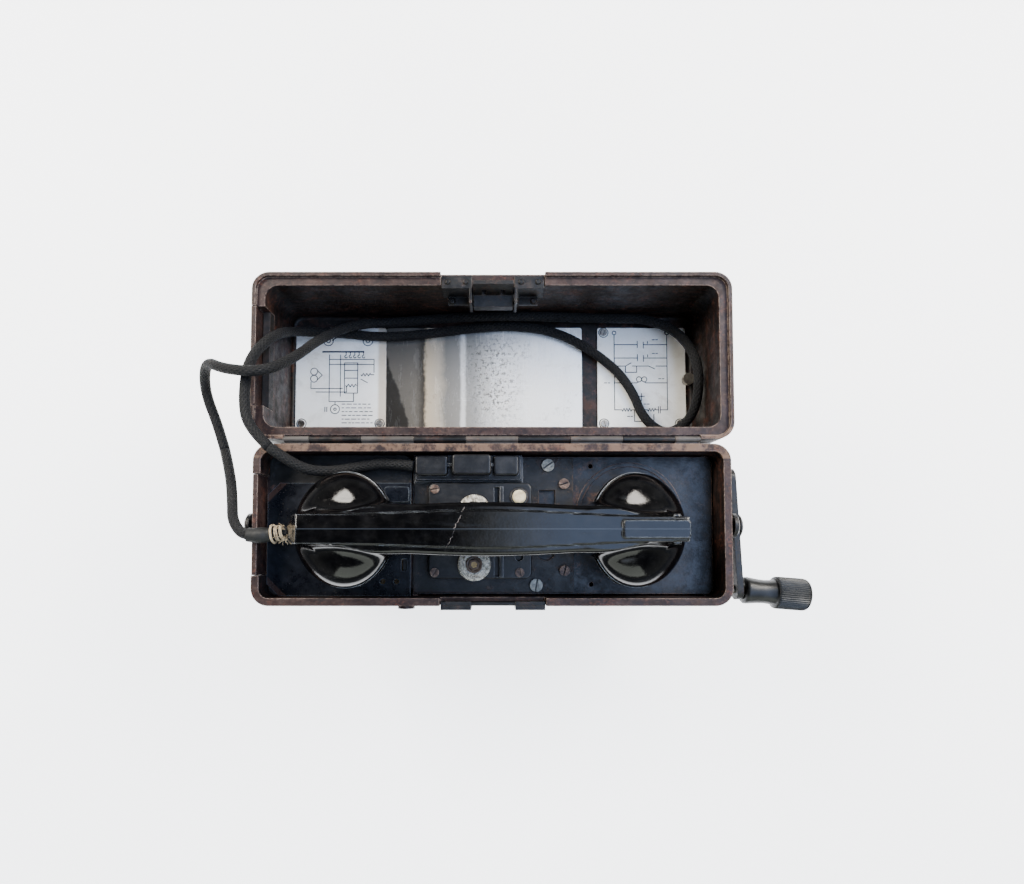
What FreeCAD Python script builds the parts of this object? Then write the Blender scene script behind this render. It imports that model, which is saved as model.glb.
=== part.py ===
import FreeCAD, Part
import math
import os
from types import SimpleNamespace

import Sketcher
from FreeCAD import Placement, Rotation, Vector

# A field telephone in a moulded case, standing open with its lid folded back, in millimetres.
# X runs along the case towards the crank, Y from the latch side to the hinge side, Z up.
# The origin is the middle of the face that the case stands on.

SIZES = {
    "case_length": (275, "outside length of the case"),
    "case_width": (93, "outside width of the case"),
    "case_height": (150, "height of the case's rim above the ground"),
    "case_wall": (4.4, "wall of the case"),
    "case_floor": (5, "thickness of the case's floor"),
    "corner_radius": (10, "upright corners of the case and lid"),
    "foot_height": (3, "feet moulded under the case"),
    "foot_radius": (9, "radius of a foot"),
    "partition_x": (-46, "middle of the wall between battery and works"),
    "partition_thickness": (3, "thickness of that wall"),
    "hinge_offset": (2.7, "hinge axis behind the case's back"),
    "hinge_drop": (1, "hinge axis below the case's rim"),
    "barrel_radius": (1.7, "outside radius of the hinge knuckles"),
    "hinge_pin_radius": (0.8, "radius of the hinge pin"),
    "hinge_span": (240, "length of the hinge"),
    "end_knuckle": (14.6, "length of the two outer knuckles"),
    "knuckle_gap": (0.3, "gap between knuckles"),
    "leaf_thickness": (1.2, "thickness of the hinge leaves"),
    "leaf_height": (13, "height of the hinge leaves"),
    "fit_gap": (0.3, "gap between parts that move past each other"),
    "running_gap": (0.05, "radial gap of a shaft in its bearing"),
    "lid_lip": (2.2, "lip of the lid that laps the rim"),
    "lip_depth": (2, "depth of that lip"),
    "lid_ledge": (5, "ledge inside the lip that meets the rim"),
    "lid_depth": (51, "depth of the lid inside"),
    "lid_skin": (3.6, "thickness of the lid's top"),
    "lid_edge_radius": (6, "outer edges of the lid's top"),
    "lid_inner_radius": (2.4, "inner edges of the lid's top"),
    "flap_length": (58, "length of the side flaps"),
    "flap_height": (15, "height of the side flaps"),
    "flap_thickness": (2.2, "thickness of the side flaps"),
    "trunnion_radius": (1, "radius of the flaps' trunnions"),
    "trunnion_length": (3, "length of each trunnion"),
    "seal_height": (7, "rubber strip behind the lid's flap"),
    "seal_thickness": (4, "thickness of that strip"),
    "stud_gap": (1.5, "gap between a strap stud and the crank's bearing"),
    "stud_reach": (12.5, "how far a strap stud stands out"),
    "stud_head_radius": (7.5, "radius of a strap stud's head"),
    "stud_head": (4, "thickness of a strap stud's head"),
    "stud_neck_radius": (4, "radius of a strap stud's neck"),
    "panel_drop": (17, "panel below the rim"),
    "panel_thickness": (2, "thickness of the panel"),
    "panel_gap": (1, "gap round the panel"),
    "ring_end_margin": (18.3, "pressed ring from the panel's end"),
    "ring_back_margin": (3.6, "pressed ring from the panel's back edge"),
    "ring_radius": (31.8, "outer radius of the pressed ring"),
    "ring_width": (2.4, "width of the pressed ring"),
    "ring_height": (0.6, "height of the pressed ring"),
    "ring_gap": (1.7, "gap between the middle plate and the pressed ring"),
    "plate_thickness": (1.8, "thickness of the middle plate"),
    "panel_hole_radius": (1.3, "radius of the small holes in the panel"),
    "panel_hole_gap": (10.7, "those holes from the middle plate"),
    "panel_hole_margin": (5.7, "those holes from the panel's long edges"),
    "window_inset": (16.5, "round window from the middle plate's right edge"),
    "window_radius": (5.6, "radius of the round window"),
    "window_margin": (16.1, "round window from the block's front edge"),
    "square_inset": (20.5, "square window from the middle plate's right edge"),
    "square_length": (9.6, "length of the square window"),
    "square_margin": (3.8, "square window from the block's back edge"),
    "square_width": (8.4, "width of the square window"),
    "block_inset": (7.3, "terminal block from the wall beside the battery"),
    "block_length": (60.4, "length of the terminal block"),
    "block_margin": (10.5, "terminal block from the case's front wall"),
    "block_gap": (1, "gap between the terminal block and the plug socket"),
    "block_height": (8.2, "height of the terminal block above its plate"),
    "block_radius": (4, "corners of the terminal block"),
    "block_edge": (1, "rounding of the block's upper edges"),
    "rib_inset": (18.3, "divider rib from the block's right edge"),
    "rib_width": (1.6, "width of the divider rib"),
    "rib_height": (1.6, "height of the divider rib"),
    "rib_margin": (1.2, "front end of the rib from the block's front edge"),
    "rib_end": (2.5, "back end of the rib from the block's back edge"),
    "groove_gap": (0.7, "gap between the rib and the groove beside it"),
    "groove_width": (2.9, "width of that groove"),
    "groove_depth": (4, "depth of that groove"),
    "test_hole_radius": (2.4, "radius of the test hole in the block"),
    "test_hole_depth": (5, "depth of that hole"),
    "test_hole_margin": (12.8, "that hole from the block's front edge"),
    "terminal_inset": (27, "terminals from the block's left edge"),
    "terminal_back_margin": (16.8, "rear terminal from the block's back edge"),
    "terminal_front_margin": (8.6, "front terminal from the block's front edge"),
    "terminal_stud_radius": (2, "radius of the terminal studs"),
    "nut_radius": (9.7, "radius of the serrated terminal nuts"),
    "nut_height": (4.4, "height of the serrated terminal nuts"),
    "nut_notch": (0.9, "radius of a serration"),
    "hex_radius": (3.4, "corner radius of the brass hexagons"),
    "hex_height": (2.6, "height of the brass hexagons"),
    "terminal_tail": (6, "terminal studs below the panel"),
    "terminal_foot": (3, "thickness of a terminal stud's foot"),
    "terminal_tip": (1, "terminal studs above their hexagons"),
    "button_inset": (7.4, "test button from the block's right edge"),
    "button_margin": (8.4, "test button from the block's back edge"),
    "button_radius": (3.9, "radius of the test button"),
    "button_rise": (4, "test button above the block"),
    "button_travel": (3, "travel of the test button"),
    "button_collar": (0.9, "rim round the test button"),
    "button_edge": (0.8, "cut edge of the test button"),
    "socket_inset": (1.9, "plug socket from the left face of the battery wall"),
    "socket_length": (63.4, "length of the plug socket"),
    "socket_width": (15.6, "width of the plug socket"),
    "socket_gap": (0.9, "gap between the plug socket and the case's back wall"),
    "socket_rise": (4.4, "plug socket above the middle plate"),
    "socket_depth": (14, "plug socket below its top"),
    "socket_lip": (0.7, "flange of the socket on the middle plate"),
    "plug_base": (2.6, "base plate of the plug"),
    "plug_low": (4.4, "end blocks of the plug above its base"),
    "plug_high": (9, "middle block of the plug above its base"),
    "plug_margin": (0.8, "plug base inside the socket's edges"),
    "plug_end_length": (19.2, "length of the plug's left block"),
    "plug_wide_gap": (2.6, "gap between the plug's left and middle blocks"),
    "plug_middle_length": (22.6, "length of the plug's middle block"),
    "plug_narrow_gap": (1, "gap between the plug's middle and right blocks"),
    "plug_end_margin": (1.4, "plug's right block from the end of its base"),
    "plug_front_margin": (2.2, "plug's blocks from the front of its base"),
    "plug_corner": (2, "upright corners of the plug's blocks"),
    "plug_edge": (1.4, "upper edges of the plug's blocks"),
    "spine_margin": (7.6, "plug's spine from the front of its base"),
    "spine_width": (1.6, "width of that spine"),
    "spine_inset": (4.5, "ends of that spine inside the plug's base"),
    "plug_pin_radius": (1.6, "radius of a plug pin"),
    "plug_pin_length": (11, "length of a plug pin below the base"),
    "plug_pin_pitch": (13, "spacing of the plug pins"),
    "cover_rise": (4.9, "battery cover's top above the panel"),
    "cover_thickness": (2.5, "thickness of the battery cover"),
    "cover_margin": (17.2, "battery cover from the case's back wall"),
    "tab_length": (14.2, "length of the battery cover's raised tab"),
    "tab_width": (8.9, "width of that tab"),
    "tab_rise": (2.6, "rise of that tab"),
    "tab_inset": (1, "that tab from the cover's right edge"),
    "tab_margin": (2.5, "that tab from the cover's back edge"),
    "cover_slot_length": (7, "length of the slot in the battery cover"),
    "cover_slot_width": (3.2, "width of that slot"),
    "cover_slot_inset": (2.2, "that slot from the cover's right edge"),
    "cover_slot_margin": (14.7, "that slot from the cover's front edge"),
    "cover_hole_radius": (1.7, "radius of the two holes in the battery cover"),
    "cover_hole_pitch": (8.2, "spacing of those holes"),
    "cover_hole_margin": (8.3, "those holes from the cover's front edge"),
    "cover_chamfer": (7, "cut corners of the battery cover"),
    "tray_wall": (2, "wall of the battery tray"),
    "tray_depth": (118, "depth of the battery tray"),
    "tray_flange": (3, "flange round the battery tray"),
    "battery_gap": (1, "gap round the battery"),
    "battery_height": (108, "height of the battery"),
    "crank_drop": (26, "crank axis below the panel"),
    "shaft_radius": (4, "radius of the crank shaft"),
    "crank_reach": (40.5, "knob's middle from the crank axis"),
    "arm_inner": (153, "inner face of the crank arm at the shaft"),
    "arm_thickness": (4, "thickness of the crank arm"),
    "arm_width": (13, "width of the crank arm"),
    "arm_lean": (3, "outward lean of the crank arm, degrees"),
    "arm_tail": (37, "tail of the crank arm behind the shaft"),
    "hub_radius": (8, "radius of the domed hub nut"),
    "hub_height": (3.6, "height of the domed hub nut"),
    "hub_seat": (0.4, "gap between the hub nut and the arm"),
    "knob_skew": (4.5, "skew of the knob's axis, degrees"),
    "knob_pin_radius": (2.6, "radius of the knob's pin"),
    "knob_length": (41, "length of the crank knob"),
    "knob_gap": (1.4, "gap between the knob and the crank arm"),
    "knob_recess": (9, "depth of the recess for the pin's head, from the knob's end"),
    "knob_wall": (2, "knob's end over that recess"),
    "pin_head": (1.6, "height and overhang of the pin's head"),
    "knob_small": (6.8, "radius of the knob at the arm"),
    "knob_waist": (5.6, "radius of the knob's waist"),
    "knob_large": (10.3, "radius of the knob's ribbed end"),
    "knob_rib": (0.8, "radius of the grooves between the knob's ribs"),
    "tooth_module": (0.9, "gear module"),
    "gear_teeth": (48, "teeth of the drive gear"),
    "pinion_teeth": (12, "teeth of the pinion"),
    "gear_x": (104, "inner face of the gears"),
    "gear_width": (7, "width of the gears"),
    "frame_left": (50, "left plate of the generator frame"),
    "frame_right": (98, "right plate of the generator frame"),
    "frame_plate": (3, "thickness of the frame's plates"),
    "frame_half": (26, "half the width of the frame's plates"),
    "frame_bottom": (56, "bottom of the frame's plates"),
    "armature_radius": (13.6, "radius of the armature"),
    "armature_gap": (1, "gap between armature and magnets"),
    "armature_end_gap": (3, "gap between armature and frame plates"),
    "winding_offset": (9, "middle of each winding from the armature's axis"),
    "winding_width": (10, "width of the slots for the windings"),
    "winding_height": (16, "height of those slots"),
    "magnet_thickness": (6, "thickness of the magnets"),
    "magnet_top": (4.5, "magnets above the space for the armature"),
    "tie_thickness": (4, "thickness of the bars beside the magnets"),
    "tie_height": (10, "height of those bars"),
    "magnet_width": (11, "width of one magnet"),
    "magnet_count": (3, "magnets on the generator"),
    "bearing_radius": (10, "radius of the bearing flange"),
    "bearing_flange": (3, "thickness of the bearing flange"),
    "bearing_tail": (5, "bearing inside the case's wall"),
    "gong_radius": (20, "radius of a gong"),
    "gong_depth": (13, "depth of a gong"),
    "gong_wall": (1.4, "wall of a gong"),
    "post_radius": (2.5, "radius of a gong's post"),
    "gong_spacing": (50, "distance between the gongs"),
    "gong_height": (44, "height of the gongs"),
    "ringer_x": (2.6, "middle of the ringer along the case"),
    "ringer_plate_y": (20, "front face of the ringer's plate"),
    "hammer_pivot": (92, "height of the hammer's pivot"),
    "hammer_ball": (4, "radius of the hammer"),
    "coil_radius": (9, "radius of the ringer coils"),
    "coil_length": (18, "length of the ringer coils"),
    "coil_cheek": (1.5, "thickness of the coils' cheeks"),
    "coil_spacing": (28, "distance between the coils"),
    "core_radius": (3, "radius of the coils' cores"),
    "yoke_width": (10, "width of the yokes on the ringer's plate"),
    "pivot_radius": (1.5, "radius of the hammer's pivot"),
    "hammer_reach": (3, "hammer in front of the gongs' rims"),
    "hammer_rod": (1.2, "radius of the hammer's rod"),
    "hammer_bar": (4, "thickness of the hammer's iron bar"),
    "hammer_half": (20, "half the length of that bar"),
    "ringer_plate": (3, "thickness of the ringer's plate"),
    "gong_reach": (20, "gongs' crowns in front of that plate"),
    "cap_inset": (23.3, "middle of each cap's face inside the end of the ridge"),
    "cap_tilt": (26.5, "tilt of the caps, degrees"),
    "cap_face": (28, "radius of a cap's face"),
    "cap_radius": (32.5, "largest radius of a cap"),
    "cap_depth": (10, "depth of a cap"),
    "cap_widest": (7.5, "cap's widest ring behind its face"),
    "cap_wall": (3, "wall of a cap"),
    "cap_hole_radius": (1.7, "radius of the holes in the caps"),
    "cup_depth": (18, "depth of a cup behind its cap"),
    "cup_top": (13, "radius of a cup's crown"),
    "cup_bore": (26.8, "bore of a cup"),
    "cup_bore_depth": (9, "depth of that bore"),
    "capsule_radius": (26.4, "radius of a capsule"),
    "capsule_depth": (14, "depth of a capsule"),
    "ridge_height": (48.5, "ridge of the handle above the caps"),
    "ridge_half": (101, "half the length of the ridge"),
    "ridge_flat": (2.2, "width of the ridge's flat"),
    "shoulder_height": (43.5, "handle's shoulder above the caps"),
    "shoulder_width": (19, "width across the shoulders"),
    "waist_height": (35, "handle's widest line above the caps"),
    "waist_width": (28, "width across that line"),
    "belly_height": (27.5, "underside of the handle above the caps"),
    "belly_width": (21, "width of the underside"),
    "pad_inset": (2, "raised pad inside the end of the ridge"),
    "pad_length": (27, "length of the raised pad"),
    "pad_width": (9, "width of the raised pad"),
    "pad_rise": (0.9, "rise of the raised pad"),
    "handset_x": (-0.8, "middle of the handset along the case"),
    "handset_y": (-3.2, "middle of the handset across the case"),
    "key_half": (31, "half the length of the talk key"),
    "key_width": (10, "width of the talk key"),
    "key_slot": (6, "depth of the talk key's slot"),
    "key_rise": (5, "talk key below the handle"),
    "key_pin_inset": (5, "talk key's pin from the key's end"),
    "key_pin_rise": (3, "that pin above the handle's underside"),
    "key_pin_radius": (1, "radius of that pin"),
    "cord_radius": (3, "radius of the handset cord"),
    "sleeve_radius": (3.9, "radius of the cord's rubber sleeve"),
    "collar_radius": (4.1, "radius of the cord's thread collar"),
    "latch_length": (61, "length of the latch's recess"),
    "latch_shift": (0.5, "middle of that recess, towards the crank"),
    "latch_notch": (4, "depth of the recess in the lid's rim"),
    "lever_length": (23.4, "length of the latch lever"),
    "lever_shift": (0.2, "middle of the lever from the middle of its recess"),
    "lever_drop": (17.4, "lever's end below its pin, with the lid closed"),
    "lever_reach": (4.8, "lever's inner face in front of its pin"),
    "lever_sheet": (2.2, "thickness of the lever's end"),
    "lever_boss": (3, "lever's boss around its pin"),
    "lever_slot_width": (2.6, "width of the slots in the lever"),
    "lever_slot_inset": (5, "those slots from the lever's ends"),
    "lever_side_gap": (0.8, "gap at the lever's ends"),
    "bracket_plate": (1.5, "sheet of the latch bracket"),
    "bracket_drop": (13, "depth of the latch bracket"),
    "bracket_gap": (0.4, "gap between the bracket and the recess"),
    "bracket_tab": (6.5, "reach of the bracket's tabs"),
    "tab_rivet_inset": (5.8, "rivets of those tabs from the recess's ends"),
    "seat_rivet_inset": (4, "outer rivets from the recess's ends"),
    "seat_rivet_gap": (4.6, "inner rivets from the lever's ends"),
    "latch_pin_y": (-35, "latch pin, with the lid closed"),
    "latch_pin_rise": (11, "latch pin above the rim, with the lid closed"),
    "latch_pin_radius": (1.3, "radius of the latch pin"),
    "keeper_drop": (9, "depth of the recess behind the keeper"),
    "keeper_bar": (1.4, "radius of the keeper's bar"),
    "keeper_sheet": (2.4, "thickness of the keeper's plates"),
    "keeper_length": (12, "keeper's plates below the recess"),
    "diagram_thickness": (1.2, "thickness of the plates in the lid"),
    "diagram_corner": (1.5, "corners of those plates"),
    "diagram_left_length": (59.9, "length of the left plate"),
    "diagram_right_length": (58.4, "length of the right plate"),
    "diagram_left_gap": (0.2, "left plate from the lid's rounded corner"),
    "diagram_right_gap": (2, "right plate from the lid's rounded corner"),
    "polished_left_gap": (0.3, "gap between the left and the polished plate"),
    "polished_right_gap": (10.4, "gap between the polished and the right plate"),
    "diagram_front_margin": (8.2, "plates from the lid's hinge side"),
    "diagram_back_margin": (8, "plates from the lid's latch side"),
    "plate_screw_radius": (2.3, "radius of the plates' screw heads"),
    "plate_screw_rise": (1, "height of those heads"),
    "plate_screw_inset": (4.1, "those screws from the plates' ends"),
    "plate_screw_margin": (3.2, "those screws from the plates' long edges"),
    "plate_knob_radius": (3.8, "radius of the knob at the right plate's edge"),
    "plate_knob_neck": (1.9, "radius of that knob's neck"),
    "plate_knob_height": (8.4, "height of that knob"),
    "plate_knob_head": (3.4, "thickness of that knob's head"),
    "plate_knob_shift": (2.1, "that knob from the lid's middle"),
    "screw_radius": (3.1, "radius of the small screw heads"),
    "zinc_radius": (3.8, "radius of the two large screw heads"),
    "screw_rise": (1.6, "height of a screw head"),
    "small_screw_inset": (5.5, "small screws from the middle plate's right edge"),
    "small_screw_margin": (4.5, "front small screw from the block's front edge"),
    "zinc_back_inset": (15.1, "rear large screw from the middle plate's right edge"),
    "zinc_front_inset": (22.3, "front large screw from that edge"),
    "zinc_margin": (6.4, "large screws from the case's walls"),
    "block_screw_inset": (3.8, "block screws from the block's edges"),
    "block_screw_shift": (7.1, "screw by the button from the block's right edge"),
    "slot_width": (0.9, "width of a screw's slot"),
    "rivet_radius": (2.2, "radius of a rivet's head"),
    "boss_radius": (5, "round boss on the case's front"),
    "boss_rise": (3.4, "how far that boss stands out"),
    "boss_offset": (51.4, "that boss from the case's middle"),
    "boss_drop": (20, "that boss below the rim"),
    "bobbin_radius": (10, "radius of the induction coil"),
    "bobbin_length": (47, "length of the induction coil"),
    "bobbin_cheek": (3, "thickness of its end plates"),
    "bobbin_width": (26, "width of its end plates"),
    "bobbin_height": (25, "height of its end plates"),
    "bobbin_inset": (6, "induction coil from the generator's left plate"),
    "can_length": (16, "length of the capacitor's can"),
    "can_width": (48, "width of that can"),
    "can_height": (38, "height of that can"),
    "can_gap": (5.1, "that can from the case's end wall"),
    "can_corner": (2, "corners of that can"),
    "lug_radius": (2, "radius of the capacitor's lugs"),
    "lug_height": (5, "height of those lugs"),
    "lug_pitch": (24, "spacing of those lugs"),
}


class Size:
    """A length worked out from the sheet: its value, and the expression that gives it."""

    def __init__(self, value, text):
        self.value = float(value)
        self.text = text

    def __float__(self):
        return self.value

    def __add__(self, other):
        return Size(self.value + float(other), f"({self.text} + {text_of(other)})")

    def __radd__(self, other):
        return Size(float(other) + self.value, f"({text_of(other)} + {self.text})")

    def __sub__(self, other):
        return Size(self.value - float(other), f"({self.text} - {text_of(other)})")

    def __rsub__(self, other):
        return Size(float(other) - self.value, f"({text_of(other)} - {self.text})")

    def __mul__(self, other):
        return Size(self.value * float(other), f"({self.text} * {text_of(other)})")

    def __rmul__(self, other):
        return Size(float(other) * self.value, f"({text_of(other)} * {self.text})")

    def __truediv__(self, other):
        return Size(self.value / float(other), f"({self.text} / {text_of(other)})")

    def __neg__(self):
        return Size(-self.value, f"(0 - {self.text})")


def text_of(size):
    """The expression of a size, or of a plain number."""
    return size.text if isinstance(size, Size) else f"({float(size):.9g})"


doc = FreeCAD.newDocument("FieldTelephone")
sheet = doc.addObject("Spreadsheet::Sheet", "dims")
for row, (alias, (value, meaning)) in enumerate(SIZES.items(), start=1):
    sheet.set(f"A{row}", alias)
    sheet.set(f"B{row}", str(value))
    sheet.set(f"C{row}", meaning)
    sheet.setAlias(f"B{row}", alias)
doc.recompute()
d = SimpleNamespace(**{alias: Size(getattr(sheet, alias), f"dims.{alias}") for alias in SIZES})

AXES = {"X": Vector(1, 0, 0), "Y": Vector(0, 1, 0), "Z": Vector(0, 0, 1)}
nodes = {}


def vector(x, y, z):
    return Vector(float(x), float(y), float(z))


def place(thing, at, along=None):
    """Turn a thing's own Z axis along a direction, and bind its place to the sheet."""
    if along is None:
        turn = Rotation()
    else:
        turn = Rotation(AXES["Z"], AXES[along] if isinstance(along, str) else along)
    thing.Placement = Placement(vector(*at), turn)
    for axis, size in zip("xyz", at):
        thing.setExpression(f"Placement.Base.{axis}", text_of(size))
    return thing


def box(name, low, high):
    block = doc.addObject("Part::Box", name)
    for side, start, end in zip(("Length", "Width", "Height"), low, high):
        block.setExpression(side, text_of(end - start))
    return place(block, low)


def rod(name, at, radius, length, along="Z"):
    cylinder = doc.addObject("Part::Cylinder", name)
    cylinder.setExpression("Radius", text_of(radius))
    cylinder.setExpression("Height", text_of(length))
    return place(cylinder, at, along)


def cone(name, at, radius, end_radius, length, along="Z"):
    frustum = doc.addObject("Part::Cone", name)
    frustum.setExpression("Radius1", text_of(radius))
    frustum.setExpression("Radius2", text_of(end_radius))
    frustum.setExpression("Height", text_of(length))
    return place(frustum, at, along)


def ball(name, at, radius):
    sphere = doc.addObject("Part::Sphere", name)
    sphere.setExpression("Radius", text_of(radius))
    return place(sphere, at)


def cut(name, base, tools):
    """Take several tools away from a base."""
    result = doc.addObject("Part::Cut", name)
    result.Base = base
    result.Tool = tools[0] if len(tools) == 1 else group(name + "_tools", tools)
    return result


def fuse(name, shapes):
    result = doc.addObject("Part::MultiFuse", name)
    result.Shapes = shapes
    return result


def common(name, shapes):
    result = doc.addObject("Part::MultiCommon", name)
    result.Shapes = shapes
    return result


def group(name, shapes):
    """Separate solids that are kept together as one piece or one tool."""
    result = doc.addObject("Part::Compound", name)
    result.Links = shapes
    return result


def node(name, thing):
    """Name a finished sub-part, and the file that it goes to."""
    thing.Label = name
    nodes[name] = thing
    return thing


def origin_plane(body, role):
    return next(f for f in body.Origin.OriginFeatures if f.Role == role + "_Plane")


def draw(sketch, outline):
    """Draw a closed outline whose corners are bound to the sheet.

    A corner is (across, up), or (across, up, middle), where middle is a point of an arc to the next corner.
    """
    corners = [Vector(float(corner[0]), float(corner[1]), 0) for corner in outline]
    starts = []
    ends = []
    for i, corner in enumerate(outline):
        here = corners[i]
        there = corners[(i + 1) % len(corners)]
        if len(corner) == 3:
            middle = Vector(float(corner[2][0]), float(corner[2][1]), 0)
            arc = Part.Arc(here, middle, there)
            sketch.addGeometry(arc, False)
            kept = sketch.Geometry[i]
            forward = kept.StartPoint.distanceToPoint(here) < kept.EndPoint.distanceToPoint(here)
        else:
            sketch.addGeometry(Part.LineSegment(here, there), False)
            forward = True
        starts.append(1 if forward else 2)
        ends.append(2 if forward else 1)
    for i, corner in enumerate(outline):
        following = (i + 1) % len(outline)
        sketch.addConstraint(
            Sketcher.Constraint("Coincident", i, ends[i], following, starts[following])
        )
        for kind, size in zip(("DistanceX", "DistanceY"), corner[:2]):
            index = sketch.addConstraint(Sketcher.Constraint(kind, -1, 1, i, starts[i], float(size)))
            sketch.setExpression(f"Constraints[{index}]", text_of(size))


def sketched_body(name, plane, outline, offset=0):
    body = doc.addObject("PartDesign::Body", name)
    sketch = body.newObject("Sketcher::SketchObject", name + "_outline")
    sketch.AttachmentSupport = [(origin_plane(body, plane), "")]
    sketch.MapMode = "FlatFace"
    sketch.setExpression("AttachmentOffset.Base.z", text_of(offset))
    draw(sketch, outline)
    return body, sketch


def slab(name, plane, outline, low, high):
    """Pad an outline on the XY, XZ or YZ plane between two places along the axis across that plane."""
    body, sketch = sketched_body(name, plane, outline, -high if plane == "XZ" else low)
    pad = body.newObject("PartDesign::Pad", name + "_pad")
    pad.Profile = sketch
    pad.setExpression("Length", text_of(high - low))
    return body


def turned(name, outline, at=(0, 0, 0), along=None):
    """Turn an outline of (radius, height) about its own upright axis, and place that axis."""
    body, sketch = sketched_body(name, "XZ", outline)
    turn = body.newObject("PartDesign::Revolution", name + "_turn")
    turn.Profile = sketch
    turn.ReferenceAxis = (sketch, ["V_Axis"])
    turn.Angle = 360
    return place(body, at, along)


def rectangle(left, right, front, back):
    return [(left, front), (right, front), (right, back), (left, back)]


def is_upright(edge):
    ends = [vertex.Point for vertex in edge.Vertexes]
    return len(ends) == 2 and ends[0].sub(ends[1]).cross(AXES["Z"]).Length < 1e-6


def rounded(body, edges_wanted, radius):
    """Round those edges of a body's last feature that a test picks out."""
    doc.recompute()
    last = body.Tip
    picked = [f"Edge{i}" for i, edge in enumerate(last.Shape.Edges, start=1) if edges_wanted(edge)]
    fillet = body.newObject("PartDesign::Fillet", body.Name + "_round")
    fillet.Base = (last, picked)
    fillet.setExpression("Radius", text_of(radius))
    return body


def rounded_slab(name, left, right, front, back, low, high, radius):
    return rounded(
        slab(name, "XY", rectangle(left, right, front, back), low, high), is_upright, radius
    )


def flat_face_at(height):
    def test(edge):
        return all(abs(vertex.Z - float(height)) < 1e-6 for vertex in edge.Vertexes)

    return test


def screw_head(name, x, y, z, radius, rise, turn=0):
    """A cheese head with a slot across it."""
    head = rod(name + "_head", (x, y, z), radius, rise)
    slot = doc.addObject("Part::Box", name + "_slot")
    slot.setExpression("Length", text_of(radius * 2.4))
    slot.setExpression("Width", text_of(d.slot_width))
    slot.setExpression("Height", text_of(rise))
    spin = Rotation(AXES["Z"], turn)
    middle = spin.multVec(vector(-radius * 1.2, -d.slot_width / 2, 0))
    slot.Placement = Placement(middle.add(vector(x, y, z + rise * 0.45)), spin)
    return cut(name, head, [slot])


# Shared places
half_length = d.case_length / 2
half_width = d.case_width / 2
inner_length = half_length - d.case_wall
inner_width = half_width - d.case_wall
rim = d.case_height
case_bottom = d.foot_height
floor_top = case_bottom + d.case_floor
hinge_y = half_width + d.hinge_offset
hinge_z = rim - d.hinge_drop
lid_half_length = half_length + d.fit_gap + d.lid_lip
lid_half_width = half_width + d.fit_gap + d.lid_lip
lid_y = hinge_y * 2
lid_rim = hinge_z * 2 - (rim + d.fit_gap - d.lip_depth)
lid_ledge_top = lid_rim - d.lip_depth
lid_ceiling = lid_ledge_top - d.lid_depth
lid_bottom = lid_ceiling - d.lid_skin
lid_inner_length = lid_half_length - d.lid_lip - d.lid_ledge
lid_inner_width = lid_half_width - d.lid_lip - d.lid_ledge
panel_top = rim - d.panel_drop
panel_bottom = panel_top - d.panel_thickness
plate_top = panel_top + d.plate_thickness
block_top = plate_top + d.block_height
socket_top = plate_top + d.socket_rise
cover_top = panel_top + d.cover_rise
cover_bottom = cover_top - d.cover_thickness
partition_left = d.partition_x - d.partition_thickness / 2
partition_right = d.partition_x + d.partition_thickness / 2
socket_left = partition_left + d.socket_inset
socket_right = socket_left + d.socket_length
socket_back = inner_width - d.socket_gap
socket_front = socket_back - d.socket_width
socket_bottom = socket_top - d.socket_depth
ring_x = inner_length - d.panel_gap - d.ring_end_margin - d.ring_radius
ring_y = inner_width - d.panel_gap - d.ring_back_margin - d.ring_radius
plate_right = ring_x - d.ring_radius - d.ring_gap
block_left = partition_right + d.block_inset
block_right = block_left + d.block_length
block_front = -inner_width + d.block_margin
block_back = socket_front - d.block_gap
terminal_x = block_left + d.terminal_inset
terminal_back = block_back - d.terminal_back_margin
terminal_front = block_front + d.terminal_front_margin
terminals = (("back", terminal_back), ("front", terminal_front))
button_x = block_right - d.button_inset
button_y = block_back - d.button_margin
cover_back = inner_width - d.cover_margin
crank_height = panel_bottom - d.crank_drop
stud_height = crank_height + d.bearing_radius + d.stud_head_radius + d.stud_gap
latch_left = d.latch_shift - d.latch_length / 2
latch_right = d.latch_shift + d.latch_length / 2
lever_left = d.latch_shift + d.lever_shift - d.lever_length / 2
lever_right = d.latch_shift + d.lever_shift + d.lever_length / 2
cap_offset = d.ridge_half - d.cap_inset
OVER = 1
THROUGH = 4


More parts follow.
